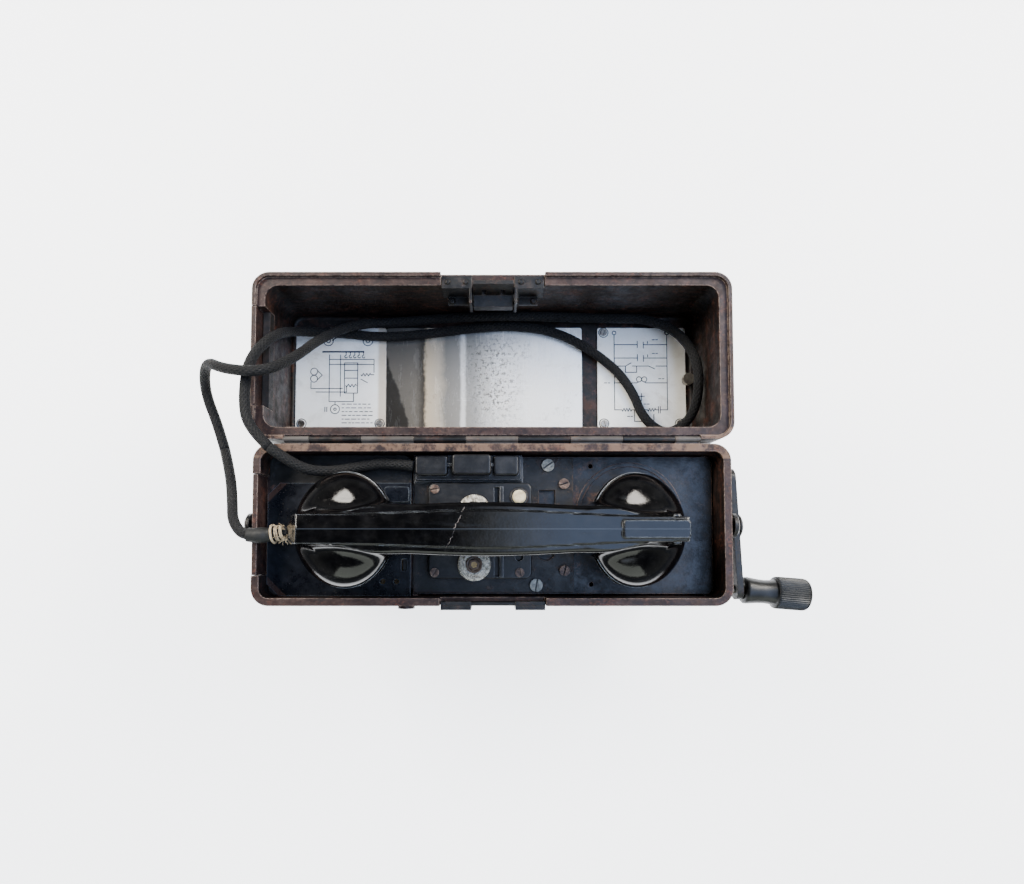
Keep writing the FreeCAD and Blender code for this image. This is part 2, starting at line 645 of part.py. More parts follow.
# The case's base
def make_case():
    outside = rounded_slab(
        "case_outside", -half_length, half_length, -half_width, half_width, case_bottom, rim, d.corner_radius
    )
    rounded(outside, flat_face_at(case_bottom), d.case_wall * 0.6)
    hollow = rounded_slab(
        "case_hollow",
        -inner_length,
        inner_length,
        -inner_width,
        inner_width,
        floor_top,
        rim + OVER,
        d.corner_radius - d.case_wall,
    )
    flap_opening = box(
        "case_flap_opening",
        (-half_length - OVER, -d.flap_length / 2 - d.fit_gap, flap_pivot_z - d.trunnion_radius * 2),
        (-inner_length + OVER, d.flap_length / 2 + d.fit_gap, rim + OVER),
    )
    latch_opening = box(
        "case_latch_opening",
        (latch_left, -half_width - OVER, rim - d.keeper_drop),
        (latch_right, -inner_width + OVER, rim + OVER),
    )
    crank_bore = rod(
        "case_crank_bore",
        (inner_length - OVER, 0, crank_height),
        d.shaft_radius * 1.6,
        d.case_wall + OVER * 2,
        "X",
    )
    flap_bores = [
        rod(
            f"case_flap_bore_{side}",
            (-flap_pivot_x, start, flap_pivot_z),
            d.trunnion_radius + d.running_gap,
            d.trunnion_length + d.fit_gap,
            "Y",
        )
        for side, start in (
            ("front", -d.flap_length / 2 - d.trunnion_length),
            ("back", d.flap_length / 2 - d.fit_gap),
        )
    ]
    shell = cut("case_shell", outside, [hollow, flap_opening, latch_opening, crank_bore, *flap_bores])
    partition = cut(
        "case_partition",
        box(
            "case_partition_blank",
            (partition_left, -inner_width - OVER, floor_top - OVER),
            (partition_right, inner_width + OVER, panel_bottom),
        ),
        [
            box(
                "case_partition_notch",
                (
                    socket_left - d.fit_gap,
                    socket_front - d.fit_gap,
                    socket_bottom - d.fit_gap,
                ),
                (partition_right + OVER, socket_back + d.fit_gap, panel_top),
            )
        ],
    )
    feet = [
        rod(
            f"case_foot_{i}",
            (along * (half_length - d.foot_radius * 2), across * (half_width - d.foot_radius * 1.8), 0),
            d.foot_radius,
            case_bottom + OVER,
        )
        for i, (along, across) in enumerate(((-1, -1), (1, -1), (-1, 1), (1, 1), (0, 0)))
    ]
    corner_posts = [
        box(
            f"case_post_{i}",
            (inner_length - post_depth, side * (inner_width - post_depth / 2) - post_depth, floor_top - OVER),
            (inner_length + OVER, side * (inner_width - post_depth / 2) + post_depth, panel_bottom),
        )
        for i, side in enumerate((-1, 1))
    ]
    boss = rod(
        "case_boss",
        (-d.boss_offset, -half_width - d.boss_rise, rim - d.boss_drop),
        d.boss_radius,
        d.boss_rise + OVER,
        "Y",
    )
    node("base_case", fuse("base_case", [shell, partition, boss, *feet, *corner_posts]))


post_depth = d.case_wall * 1.4
flap_pivot_x = half_length - d.fit_gap * 2 - d.flap_thickness / 2
flap_pivot_z = rim - d.flap_height - d.fit_gap * 2
make_case()


# Side flaps
def make_flap(name, pivot, rise, swing_up):
    """A flap on two trunnions, standing up from its pivot."""
    x, y, z = pivot
    leaf = box(
        name + "_leaf",
        (x - d.flap_thickness / 2, y - d.flap_length / 2, z),
        (x + d.flap_thickness / 2, y + d.flap_length / 2, z + rise),
    )
    barrel = rod(
        name + "_barrel", (x, y - d.flap_length / 2, z), d.flap_thickness / 2, d.flap_length, "Y"
    )
    trunnion = rod(
        name + "_trunnion",
        (x, y - d.flap_length / 2 - d.trunnion_length + d.fit_gap, z),
        d.trunnion_radius,
        d.flap_length + (d.trunnion_length - d.fit_gap) * 2,
        "Y",
    )
    lip = box(
        name + "_lip",
        (x - d.flap_thickness / 2 - 0.6, y - d.flap_length / 2, z + rise - swing_up),
        (x, y + d.flap_length / 2, z + rise),
    )
    node(name, fuse(name, [leaf, barrel, trunnion, lip]))


lid_flap_x = lid_half_length - d.fit_gap - d.flap_thickness / 2
lid_flap_z = lid_rim - d.flap_height - d.fit_gap * 2
make_flap("base_side_flap", (-flap_pivot_x, 0, flap_pivot_z), d.flap_height, 2)
make_flap("lid_side_flap", (-lid_flap_x, lid_y, lid_flap_z), d.flap_height, 2)


# The lid, folded back
def make_lid():
    outside = rounded_slab(
        "lid_outside",
        -lid_half_length,
        lid_half_length,
        lid_y - lid_half_width,
        lid_y + lid_half_width,
        lid_bottom,
        lid_rim,
        d.corner_radius,
    )
    rounded(outside, flat_face_at(lid_bottom), d.lid_edge_radius)
    hollow = rounded_slab(
        "lid_hollow",
        -lid_inner_length,
        lid_inner_length,
        lid_y - lid_inner_width,
        lid_y + lid_inner_width,
        lid_ceiling,
        lid_rim + OVER,
        d.corner_radius - d.lid_lip - d.fit_gap,
    )
    rounded(hollow, flat_face_at(lid_ceiling), d.lid_inner_radius)
    lap = rounded_slab(
        "lid_lap",
        -lid_half_length + d.lid_lip,
        lid_half_length - d.lid_lip,
        lid_y - lid_half_width + d.lid_lip,
        lid_y + lid_half_width - d.lid_lip,
        lid_ledge_top,
        lid_rim + OVER,
        d.corner_radius - d.lid_lip,
    )
    hinge_notch = box(
        "lid_hinge_notch",
        (-d.hinge_span / 2 - d.fit_gap * 2, lid_y - lid_half_width - OVER, lid_ledge_top - 1),
        (
            d.hinge_span / 2 + d.fit_gap * 2,
            lid_y - lid_half_width + d.lid_lip + d.fit_gap,
            lid_rim + OVER,
        ),
    )
    latch_notch = box(
        "lid_latch_notch",
        (latch_left, lid_y + lid_inner_width - OVER, lid_rim - d.latch_notch),
        (latch_right, lid_y + lid_half_width + OVER, lid_rim + OVER),
    )
    flap_opening = box(
        "lid_flap_opening",
        (
            -lid_half_length - OVER,
            lid_y - d.flap_length / 2 - d.fit_gap,
            lid_flap_z - d.trunnion_radius * 2,
        ),
        (-lid_inner_length + OVER, lid_y + d.flap_length / 2 + d.fit_gap, lid_rim + OVER),
    )
    bores = [
        rod(
            f"lid_flap_bore_{side}",
            (-lid_flap_x, start, lid_flap_z),
            d.trunnion_radius + d.running_gap,
            d.trunnion_length + d.fit_gap,
            "Y",
        )
        for side, start in (
            ("front", lid_y - d.flap_length / 2 - d.trunnion_length),
            ("back", lid_y + d.flap_length / 2 - d.fit_gap),
        )
    ]
    node(
        "lid_shell",
        cut("lid_shell", outside, [hollow, lap, hinge_notch, latch_notch, flap_opening, *bores]),
    )


make_lid()

seal_foot = lid_flap_z - d.trunnion_radius * 2
seal_front = -lid_flap_x + d.flap_thickness / 2 + d.fit_gap * 2
node(
    "lid_flap_seal",
    box(
        "lid_flap_seal",
        (seal_front, lid_y - d.flap_length / 2, seal_foot),
        (-lid_inner_length, lid_y + d.flap_length / 2, seal_foot + d.seal_height),
    ),
)


# The hinge: nine knuckles, shared out in turn between the two leaves
def knuckle_spans():
    middle = (d.hinge_span - d.end_knuckle * 2) / 7
    edges = [-d.hinge_span / 2, -d.hinge_span / 2 + d.end_knuckle]
    for _ in range(7):
        edges.append(edges[-1] + middle)
    edges.append(d.hinge_span / 2)
    return [
        (low + d.knuckle_gap / 2, high - d.knuckle_gap / 2) for low, high in zip(edges, edges[1:])
    ]


def make_leaf(name, spans, face, outward, low, high, root):
    """A leaf with its knuckles: face is the wall that it lies on, root the height where the webs start."""
    near, far = (face, face + d.leaf_thickness) if outward > 0 else (face - d.leaf_thickness, face)
    leaf = box(
        name + "_leaf",
        (-d.hinge_span / 2 + d.knuckle_gap, near, low),
        (d.hinge_span / 2 - d.knuckle_gap, far, high),
    )
    pieces = [leaf]
    for i, (left, right) in enumerate(spans):
        pieces.append(
            rod(f"{name}_knuckle_{i}", (left, hinge_y, hinge_z), d.barrel_radius, right - left, "X")
        )
        web_near, web_far = (near, hinge_y - 0.3) if outward > 0 else (near, far)
        pieces.append(box(f"{name}_web_{i}", (left, web_near, root), (right, web_far, hinge_z)))
    bore = rod(
        name + "_bore",
        (-d.hinge_span / 2 - OVER, hinge_y, hinge_z),
        d.hinge_pin_radius + d.running_gap,
        d.hinge_span + OVER * 2,
        "X",
    )
    node(name, cut(name, fuse(name + "_blank", pieces), [bore]))


base_leaf_top = hinge_z - d.barrel_radius - d.fit_gap + 0.6
lid_leaf_top = hinge_z - d.barrel_radius - d.fit_gap * 2
make_leaf(
    "hinge_leaf_base",
    knuckle_spans()[0::2],
    half_width,
    1,
    rim - d.leaf_height - 3,
    base_leaf_top,
    lid_leaf_top + d.fit_gap,
)
make_leaf(
    "hinge_leaf_lid",
    knuckle_spans()[1::2],
    lid_y - lid_half_width,
    -1,
    rim - d.leaf_height - 4,
    lid_leaf_top,
    lid_leaf_top - OVER,
)
node(
    "hinge_pin",
    rod(
        "hinge_pin",
        (-d.hinge_span / 2 - 0.5, hinge_y, hinge_z),
        d.hinge_pin_radius,
        d.hinge_span + 1,
        "X",
    ),
)


# Strap studs at both ends
def make_studs():
    studs = []
    for name, direction in (("left", Vector(-1, 0, 0)), ("right", Vector(1, 0, 0))):
        profile = [
            (0, 0),
            (d.stud_head_radius, 0),
            (d.stud_head_radius, 1.2),
            (d.stud_neck_radius, 1.8),
            (d.stud_neck_radius, d.stud_reach - d.stud_head),
            (d.stud_head_radius, d.stud_reach - d.stud_head + 0.6),
            (d.stud_head_radius, d.stud_reach - 1.2),
            (d.stud_head_radius - 1.6, d.stud_reach),
            (0, d.stud_reach),
        ]
        studs.append(
            turned(f"strap_stud_{name}", profile, (half_length * direction.x, 0, stud_height), direction)
        )
    node("strap_studs", group("strap_studs", studs))


make_studs()


stud_bore = d.terminal_stud_radius + d.running_gap


# The panel with its pressed ring, and the plate over its middle
def make_panel():
    sheet_metal = rounded_slab(
        "panel_sheet",
        partition_left,
        inner_length - d.panel_gap,
        -inner_width + d.panel_gap,
        inner_width - d.panel_gap,
        panel_bottom,
        panel_top,
        d.corner_radius - d.case_wall - d.panel_gap,
    )
    ring = cut(
        "panel_ring",
        rod(
            "panel_ring_outer",
            (ring_x, ring_y, panel_bottom),
            d.ring_radius,
            d.panel_thickness + d.ring_height,
        ),
        [
            rod(
                "panel_ring_inner",
                (ring_x, ring_y, panel_bottom - OVER),
                d.ring_radius - d.ring_width,
                d.panel_thickness + d.ring_height + OVER * 2,
            )
        ],
    )
    openings = [
        box(
            "panel_socket_opening",
            (socket_left - d.fit_gap, socket_front - d.fit_gap, panel_bottom - OVER),
            (socket_right + d.fit_gap, socket_back + OVER, panel_top + OVER),
        )
    ]
    bottom = panel_bottom - OVER
    openings += [
        rod(f"panel_stud_hole_{end}", (terminal_x, y, bottom), stud_bore, THROUGH) for end, y in terminals
    ]
    hole_y = inner_width - d.panel_gap - d.panel_hole_margin
    openings += [
        rod(
            f"panel_hole_{end}",
            (plate_right + d.panel_hole_gap, hole_y * side, bottom),
            d.panel_hole_radius,
            THROUGH,
        )
        for end, side in (("back", 1), ("front", -1))
    ]
    openings.append(
        rod("panel_button_hole", (button_x, button_y, bottom), d.button_radius + d.fit_gap, THROUGH)
    )
    node("chassis_panel", cut("chassis_panel", fuse("panel_blank", [sheet_metal, ring]), openings))


make_panel()


def make_middle_plate():
    blank = slab(
        "middle_plate_blank",
        "XY",
        rectangle(partition_left + OVER, plate_right, -inner_width + OVER * 2, inner_width - OVER * 2),
        panel_top,
        plate_top,
    )
    bottom = panel_top - OVER
    square_back = block_back - d.square_margin
    openings = [
        box(
            "plate_socket_opening",
            (socket_left - d.fit_gap - OVER, socket_front - d.fit_gap, bottom),
            (socket_right + d.fit_gap, socket_back + OVER, plate_top + OVER),
        ),
        rod(
            "plate_round_window",
            (plate_right - d.window_inset, block_front + d.window_margin, bottom),
            d.window_radius,
            THROUGH,
        ),
        box(
            "plate_square_window",
            (plate_right - d.square_inset, square_back - d.square_width, bottom),
            (plate_right - d.square_inset + d.square_length, square_back, plate_top + OVER),
        ),
        rod("plate_button_hole", (button_x, button_y, bottom), d.button_radius + d.fit_gap, THROUGH),
    ]
    openings += [
        rod(f"plate_stud_hole_{end}", (terminal_x, y, bottom), stud_bore, THROUGH) for end, y in terminals
    ]
    node("middle_plate", cut("middle_plate", blank, openings))


make_middle_plate()

# Screws: along the case, across it, and how far the slot is turned in degrees
small_screws = (
    (plate_right - d.small_screw_inset, block_back, 20),
    (plate_right - d.small_screw_inset, block_front + d.small_screw_margin, 75),
)
block_screws = (
    (block_right - d.block_screw_shift, block_front + d.block_screw_inset, 100),
    (block_left + d.block_screw_inset, block_front + d.block_screw_inset, 60),
    (block_left + d.block_screw_inset, block_back - d.block_screw_inset, 10),
)
zinc_screws = (
    (plate_right - d.zinc_back_inset, inner_width - d.zinc_margin, 35),
    (plate_right - d.zinc_front_inset, -inner_width + d.zinc_margin, 80),
)
heads = [
    screw_head(f"small_screw_{i}", x, y, plate_top, d.screw_radius, d.screw_rise, turn)
    for i, (x, y, turn) in enumerate(small_screws)
]
heads += [
    screw_head(f"zinc_screw_{i}", x, y, plate_top, d.zinc_radius, d.screw_rise, turn)
    for i, (x, y, turn) in enumerate(zinc_screws)
]
heads += [
    screw_head(f"block_screw_{i}", x, y, block_top, d.screw_radius * 0.85, d.screw_rise * 0.6, turn)
    for i, (x, y, turn) in enumerate(block_screws)
]
node("panel_screws", group("panel_screws", heads))


# The terminal block, its studs and nuts, and the test button
def make_terminal_block():
    blank = rounded_slab(
        "block_blank",
        block_left,
        block_right,
        block_front,
        block_back,
        plate_top,
        block_top,
        d.block_radius,
    )
    rounded(blank, flat_face_at(block_top), d.block_edge)
    rib_left = block_right - d.rib_inset
    rib_back = block_back - d.rib_end
    groove_right = rib_left - d.groove_gap
    rib = box(
        "block_rib",
        (rib_left, block_front + d.rib_margin, block_top - OVER),
        (rib_left + d.rib_width, rib_back, block_top + d.rib_height),
    )
    collar = rod(
        "block_collar",
        (button_x, button_y, block_top - OVER),
        d.button_radius + d.running_gap + d.button_collar,
        OVER + 1,
    )
    groove = box(
        "block_groove",
        (groove_right - d.groove_width, block_front + d.rib_margin, block_top - d.groove_depth),
        (groove_right, rib_back, block_top + OVER),
    )
    bores = [
        rod(
            f"block_stud_bore_{end}",
            (terminal_x, y, plate_top - OVER),
            stud_bore,
            d.block_height + OVER * 2,
        )
        for end, y in terminals
    ]
    bores.append(
        rod(
            "block_button_bore",
            (button_x, button_y, plate_top - OVER),
            d.button_radius + d.running_gap,
            d.block_height + OVER * 3,
        )
    )
    bores.append(
        rod(
            "block_test_hole",
            (button_x, block_front + d.test_hole_margin, block_top - d.test_hole_depth),
            d.test_hole_radius,
            d.test_hole_depth + OVER,
        )
    )
    node("terminal_block", cut("terminal_block", fuse("block_body", [blank, rib, collar]), [groove, *bores]))


make_terminal_block()

def make_terminal_stud(end, y):
    foot = panel_bottom - d.terminal_foot
    bottom = panel_bottom - d.terminal_tail
    top = block_top + d.nut_height + d.hex_height + d.terminal_tip
    return fuse(
        f"terminal_stud_{end}",
        [
            rod(f"terminal_shank_{end}", (terminal_x, y, bottom), d.terminal_stud_radius, top - bottom),
            rod(f"terminal_foot_{end}", (terminal_x, y, foot), d.terminal_stud_radius * 2.2, d.terminal_foot),
        ],
    )


node(
    "terminal_studs",
    group("terminal_studs", [make_terminal_stud(end, y) for end, y in terminals]),
)


def ring_of_rods(name, at, ring_radius, radius, length, count):
    """Rods that stand in a ring about an upright axis."""
    x, y, z = at
    rods = []
    for i in range(count):
        angle = 2 * math.pi * i / count
        rods.append(
            rod(
                f"{name}_{i}",
                (x + ring_radius * math.cos(angle), y + ring_radius * math.sin(angle), z),
                radius,
                length,
            )
        )
    return rods


NUT_NOTCHES = 22


def make_terminal_nut(name, y):
    low = block_top + d.fit_gap
    profile = [
        (stud_bore, 0),
        (d.nut_radius, 0),
        (d.nut_radius, d.nut_height * 0.6),
        (d.nut_radius * 0.82, d.nut_height - d.fit_gap),
        (stud_bore, d.nut_height - d.fit_gap),
    ]
    disc = cut(
        name + "_disc",
        turned(name + "_blank", profile, (terminal_x, y, low)),
        ring_of_rods(
            name + "_notch",
            (terminal_x, y, low - OVER),
            d.nut_radius,
            d.nut_notch,
            d.nut_height + OVER,
            NUT_NOTCHES,
        ),
    )
    corners = [
        (d.hex_radius * math.cos(math.pi * i / 3) + terminal_x, d.hex_radius * math.sin(math.pi * i / 3) + y)
        for i in range(6)
    ]
    hex_bottom = block_top + d.nut_height
    hexagon = cut(
        name + "_hexagon",
        slab(name + "_hex_blank", "XY", corners, hex_bottom, hex_bottom + d.hex_height),
        [rod(name + "_hex_bore", (terminal_x, y, hex_bottom - OVER), stud_bore, d.hex_height + OVER * 2)],
    )
    node(name, group(name, [disc, hexagon]))


make_terminal_nut("terminal_nut_back", terminal_back)
make_terminal_nut("terminal_nut_front", terminal_front)

button_foot = panel_bottom - d.panel_thickness
button_length = block_top + d.button_rise - button_foot
node(
    "test_button",
    turned(
        "test_button",
        [
            (0, 0),
            (d.button_radius, 0),
            (d.button_radius, button_length - d.button_edge),
            (d.button_radius - d.button_edge, button_length),
            (0, button_length),
        ],
        (button_x, button_y, button_foot),
    ),
)


# The plug and the socket that it stands in
def pin_places():
    middle = (socket_left + socket_right) / 2
    across = (socket_front + socket_back) / 2
    return [(middle + d.plug_pin_pitch * step, across) for step in (-2, -1, 0, 1, 2)]


socket_block = box(
    "socket_block",
    (socket_left, socket_front, socket_bottom),
    (socket_right, socket_back, socket_top),
)
socket_bores = [
    rod(
        f"socket_bore_{i}",
        (x, y, socket_bottom + OVER),
        d.plug_pin_radius + d.running_gap,
        d.socket_depth + OVER,
    )
    for i, (x, y) in enumerate(pin_places())
]
socket_flange = box(
    "socket_flange",
    (socket_left - OVER, socket_front - d.socket_lip, plate_top),
    (socket_right + d.socket_lip, socket_back - d.socket_lip, plate_top + OVER),
)
node("socket_strip", cut("socket_strip", fuse("socket_body", [socket_block, socket_flange]), socket_bores))

plug_bottom = socket_top + d.fit_gap
plug_base_top = plug_bottom + d.plug_base
plug_left = socket_left + d.plug_margin
plug_right = socket_right - d.plug_margin
plug_front = socket_front + d.plug_margin
plug_back = socket_back - d.plug_margin


def make_plug():
    base = rounded_slab(
        "plug_base_plate",
        plug_left,
        plug_right,
        plug_front,
        plug_back,
        plug_bottom,
        plug_base_top,
        d.plug_edge,
    )
    blocks = [base]
    end_right = plug_left + d.plug_end_length
    middle_left = end_right + d.plug_wide_gap
    middle_right = middle_left + d.plug_middle_length
    for name, left, right, rise in (
        ("plug_left_block", plug_left, end_right, d.plug_low),
        ("plug_middle_block", middle_left, middle_right, d.plug_high),
        ("plug_right_block", middle_right + d.plug_narrow_gap, plug_right - d.plug_end_margin, d.plug_low),
    ):
        block = rounded_slab(
            name,
            left,
            right,
            plug_front + d.plug_front_margin,
            plug_back,
            plug_base_top - OVER,
            plug_base_top + rise,
            d.plug_corner,
        )
        blocks.append(rounded(block, flat_face_at(plug_base_top + rise), d.plug_edge))
    spine_front = plug_front + d.spine_margin
    blocks.append(
        box(
            "plug_spine",
            (plug_left + d.spine_inset, spine_front, plug_base_top - OVER),
            (plug_right - d.spine_inset, spine_front + d.spine_width, plug_base_top + d.plug_low * 0.86),
        )
    )
    node("plug_body", fuse("plug_body", blocks))
    pins = [
        rod(f"plug_pin_{i}", (x, y, plug_bottom - d.plug_pin_length), d.plug_pin_radius, d.plug_pin_length)
        for i, (x, y) in enumerate(pin_places())
    ]
    node("plug_pins", group("plug_pins", pins))


make_plug()


# The battery, its tray and its cover
tray_left = -inner_length + d.fit_gap
tray_right = partition_left - d.fit_gap
tray_front = -inner_width + d.fit_gap
tray_back = inner_width - d.fit_gap
tray_bottom = cover_bottom - d.tray_depth
tray_corner = d.corner_radius - d.case_wall - d.fit_gap


def make_battery():
    flange = rounded_slab(
        "tray_flange",
        tray_left,
        tray_right,
        tray_front,
        tray_back,
        cover_bottom - d.tray_wall,
        cover_bottom,
        tray_corner,
    )
    bin_left = tray_left + d.tray_flange
    bin_right = tray_right - d.tray_flange
    bin_front = tray_front + d.tray_flange
    bin_back = cover_back - d.tray_flange
    bin_outside = box(
        "tray_outside",
        (bin_left, bin_front, tray_bottom),
        (bin_right, bin_back, cover_bottom - d.tray_wall / 2),
    )
    bin_inside = box(
        "tray_inside",
        (bin_left + d.tray_wall, bin_front + d.tray_wall, tray_bottom + d.tray_wall),
        (bin_right - d.tray_wall, bin_back - d.tray_wall, cover_bottom + OVER),
    )
    node("battery_tray", cut("battery_tray", fuse("tray_blank", [flange, bin_outside]), [bin_inside]))
    around = d.tray_wall + d.battery_gap
    node(
        "battery",
        box(
            "battery",
            (bin_left + around, bin_front + around, tray_bottom + d.tray_wall),
            (bin_right - around, bin_back - around, tray_bottom + d.tray_wall + d.battery_height),
        ),
    )
    left = tray_left
    right = tray_right - d.fit_gap
    front = tray_front
    back = cover_back
    outline = [
        (left + d.cover_chamfer, front),
        (right, front),
        (right, back),
        (left + d.cover_chamfer, back),
        (left, back - d.cover_chamfer),
        (left, front + d.cover_chamfer),
    ]
    plate = slab("cover_plate", "XY", outline, cover_bottom, cover_top)
    tab_right = right - d.tab_inset
    tab_back = back - d.tab_margin
    tab = rounded_slab(
        "cover_tab",
        tab_right - d.tab_length,
        tab_right,
        tab_back - d.tab_width,
        tab_back,
        cover_top - OVER,
        cover_top + d.tab_rise,
        d.plug_edge,
    )
    slot_right = right - d.cover_slot_inset
    slot_front = front + d.cover_slot_margin
    slot = box(
        "cover_slot",
        (slot_right - d.cover_slot_width, slot_front, cover_bottom - OVER),
        (slot_right, slot_front + d.cover_slot_length, cover_top + OVER),
    )
    holes = [
        rod(
            f"cover_hole_{i}",
            (right - d.cover_hole_pitch * i, front + d.cover_hole_margin, cover_bottom - OVER),
            d.cover_hole_radius,
            d.cover_thickness + OVER * 2,
        )
        for i in (1, 2)
    ]
    node("battery_cover", cut("battery_cover", fuse("cover_blank", [plate, tab]), [slot, *holes]))


make_battery()


# The crank, its shaft and its knob
def make_crank():
    node(
        "crank_shaft",
        rod(
            "crank_shaft",
            (d.frame_left - d.frame_plate, 0, crank_height),
            d.shaft_radius,
            d.arm_inner + d.arm_thickness + shaft_tip - d.frame_left + d.frame_plate,
            "X",
        ),
    )
    lean = math.tan(math.radians(d.arm_lean))
    inner_tail = d.arm_inner - lean * d.arm_tail
    inner_end = d.arm_inner + lean * (d.crank_reach + d.arm_width / 2)
    outline = [
        (inner_tail, d.arm_tail),
        (inner_end, -d.crank_reach - d.arm_width / 2),
        (inner_end + d.arm_thickness, -d.crank_reach - d.arm_width / 2),
        (inner_tail + d.arm_thickness, d.arm_tail),
    ]
    arm = slab(
        "arm_blank", "XY", outline, crank_height - d.arm_width / 2, crank_height + d.arm_width / 2
    )
    long_round = slab(
        "arm_round",
        "YZ",
        [
            (-d.crank_reach, crank_height - d.arm_width / 2),
            (d.arm_tail - d.arm_width / 2, crank_height - d.arm_width / 2, (d.arm_tail, crank_height)),
            (d.arm_tail - d.arm_width / 2, crank_height + d.arm_width / 2),
            (
                -d.crank_reach,
                crank_height + d.arm_width / 2,
                (-d.crank_reach - d.arm_width / 2, crank_height),
            ),
        ],
        half_length,
        d.arm_inner + d.arm_thickness + d.arm_width,
    )
    bore = rod("arm_bore", (half_length, 0, crank_height), shaft_bore, d.arm_width * 2, "X")
    pin_bore = rod(
        "arm_pin_bore", pin_place(-d.arm_thickness), knob_bore, d.arm_thickness * 5, knob_axis
    )
    node("crank_arm", cut("crank_arm", common("arm_shape", [arm, long_round]), [bore, pin_bore]))
    face = d.arm_inner + d.arm_thickness
    node(
        "hub_nut",
        cut(
            "hub_nut",
            turned(
                "hub_blank",
                [
                    (0, d.hub_seat),
                    (d.hub_radius, d.hub_seat),
                    (d.hub_radius, d.hub_height * 0.35, (d.hub_radius * 0.62, d.hub_height * 0.86)),
                    (1.5, d.hub_height),
                    (0, d.hub_height),
                ],
                (face, 0, crank_height),
                "X",
            ),
            [rod("hub_bore", (face - OVER, 0, crank_height), shaft_bore, shaft_tip + OVER + d.hub_seat, "X")],
        ),
    )
    pin_shoulder = knob_base + d.knob_length - d.knob_recess + OVER * 2
    node(
        "knob_pin",
        turned(
            "knob_pin",
            [
                (0, 0),
                (d.knob_pin_radius, 0),
                (d.knob_pin_radius, pin_shoulder),
                (d.knob_pin_radius + d.pin_head, pin_shoulder),
                (d.knob_pin_radius + d.pin_head, pin_shoulder + d.pin_head),
                (0, pin_shoulder + d.pin_head),
            ],
            pin_place(-OVER),
            knob_axis,
        ),
    )
    recess_radius = d.knob_pin_radius + d.pin_head + d.fit_gap
    profile = [
        (knob_bore, 0),
        (d.knob_small - 1.2, 0),
        (d.knob_small, 1.2),
        (d.knob_small, 3, (d.knob_waist, d.knob_length * 0.3)),
        (d.knob_small + 0.9, d.knob_length * 0.52),
        (d.knob_large - 0.6, d.knob_length * 0.6),
        (d.knob_large, d.knob_length * 0.64),
        (d.knob_large, d.knob_length * 0.9, (d.knob_large * 0.72, d.knob_length * 0.985)),
        (1.5, d.knob_length),
        (0, d.knob_length),
        (0, d.knob_length - d.knob_wall),
        (recess_radius, d.knob_length - d.knob_wall),
        (recess_radius, d.knob_length - d.knob_recess),
        (knob_bore, d.knob_length - d.knob_recess),
    ]
    blank = turned("knob_blank", profile, pin_place(knob_base), knob_axis)
    grooves = []
    turn = Rotation(AXES["Z"], knob_axis)
    for i in range(KNOB_RIBS):
        angle = 2 * math.pi * i / KNOB_RIBS
        across = d.knob_large * math.cos(angle)
        up = d.knob_large * math.sin(angle)
        offset = turn.multVec(vector(across, up, d.knob_length * 0.6))
        start = [a + b for a, b in zip(pin_place(knob_base), offset)]
        grooves.append(rod(f"knob_groove_{i}", start, d.knob_rib, d.knob_length * 0.5, knob_axis))
    node("crank_knob", cut("crank_knob", blank, grooves))


KNOB_RIBS = 22
shaft_bore = d.shaft_radius + d.running_gap
shaft_tip = d.hub_height * 0.3
knob_bore = d.knob_pin_radius + d.running_gap
skew = math.radians(d.knob_skew)
knob_axis = Vector(math.cos(skew), -math.sin(skew), 0)
knob_base = d.arm_thickness + d.knob_gap
knob_seat = d.arm_inner + math.tan(math.radians(d.arm_lean)) * d.crank_reach


def pin_place(along):
    """A point of the knob's axis, from the inner face of the arm."""
    return (knob_seat + along * knob_axis.x, -d.crank_reach + along * knob_axis.y, crank_height)


make_crank()

node(
    "crank_bearing",
    cut(
        "crank_bearing",
        fuse(
            "bearing_blank",
            [
                rod(
                    "bearing_flange",
                    (half_length, 0, crank_height),
                    d.bearing_radius,
                    d.bearing_flange,
                    "X",
                ),
                rod(
                    "bearing_barrel",
                    (inner_length - d.bearing_tail, 0, crank_height),
                    d.shaft_radius * 1.6 - d.running_gap,
                    d.bearing_tail + d.case_wall + d.bearing_flange * 2,
                    "X",
                ),
            ],
        ),
        [
            rod(
                "bearing_bore",
                (inner_length - d.bearing_tail - OVER, 0, crank_height),
                shaft_bore,
                d.bearing_tail + d.case_wall + d.bearing_flange * 2 + OVER * 2,
                "X",
            )
        ],
    ),
)


# Gears of involute form, with a little backlash
def involute(base_radius, radius):
    roll = math.sqrt(max((radius / base_radius) ** 2 - 1, 0))
    return roll - math.atan(roll)


def gear_outline(teeth, module):
    pressure = math.radians(25)
    pitch = teeth * module / 2
    base = pitch * math.cos(pressure)
    top = pitch + 0.8 * module
    bottom = pitch - 1.05 * module
    backlash = 0.08 * module
    half_tooth = math.pi / (2 * teeth) - backlash / pitch + involute(base, pitch)
    steps = 4
    start = max(base, bottom)
    flank = [(bottom, half_tooth)] if bottom < base else []
    for i in range(steps + 1):
        radius = start + (top - start) * i / steps
        flank.append((radius, half_tooth - involute(base, radius)))
    outline = []
    for tooth in range(teeth):
        middle = 2 * math.pi * tooth / teeth
        side = [(r, middle - angle) for r, angle in flank]
        side += [(r, middle + angle) for r, angle in reversed(flank)]
        outline += [(r * math.cos(a), r * math.sin(a)) for r, a in side]
    return outline


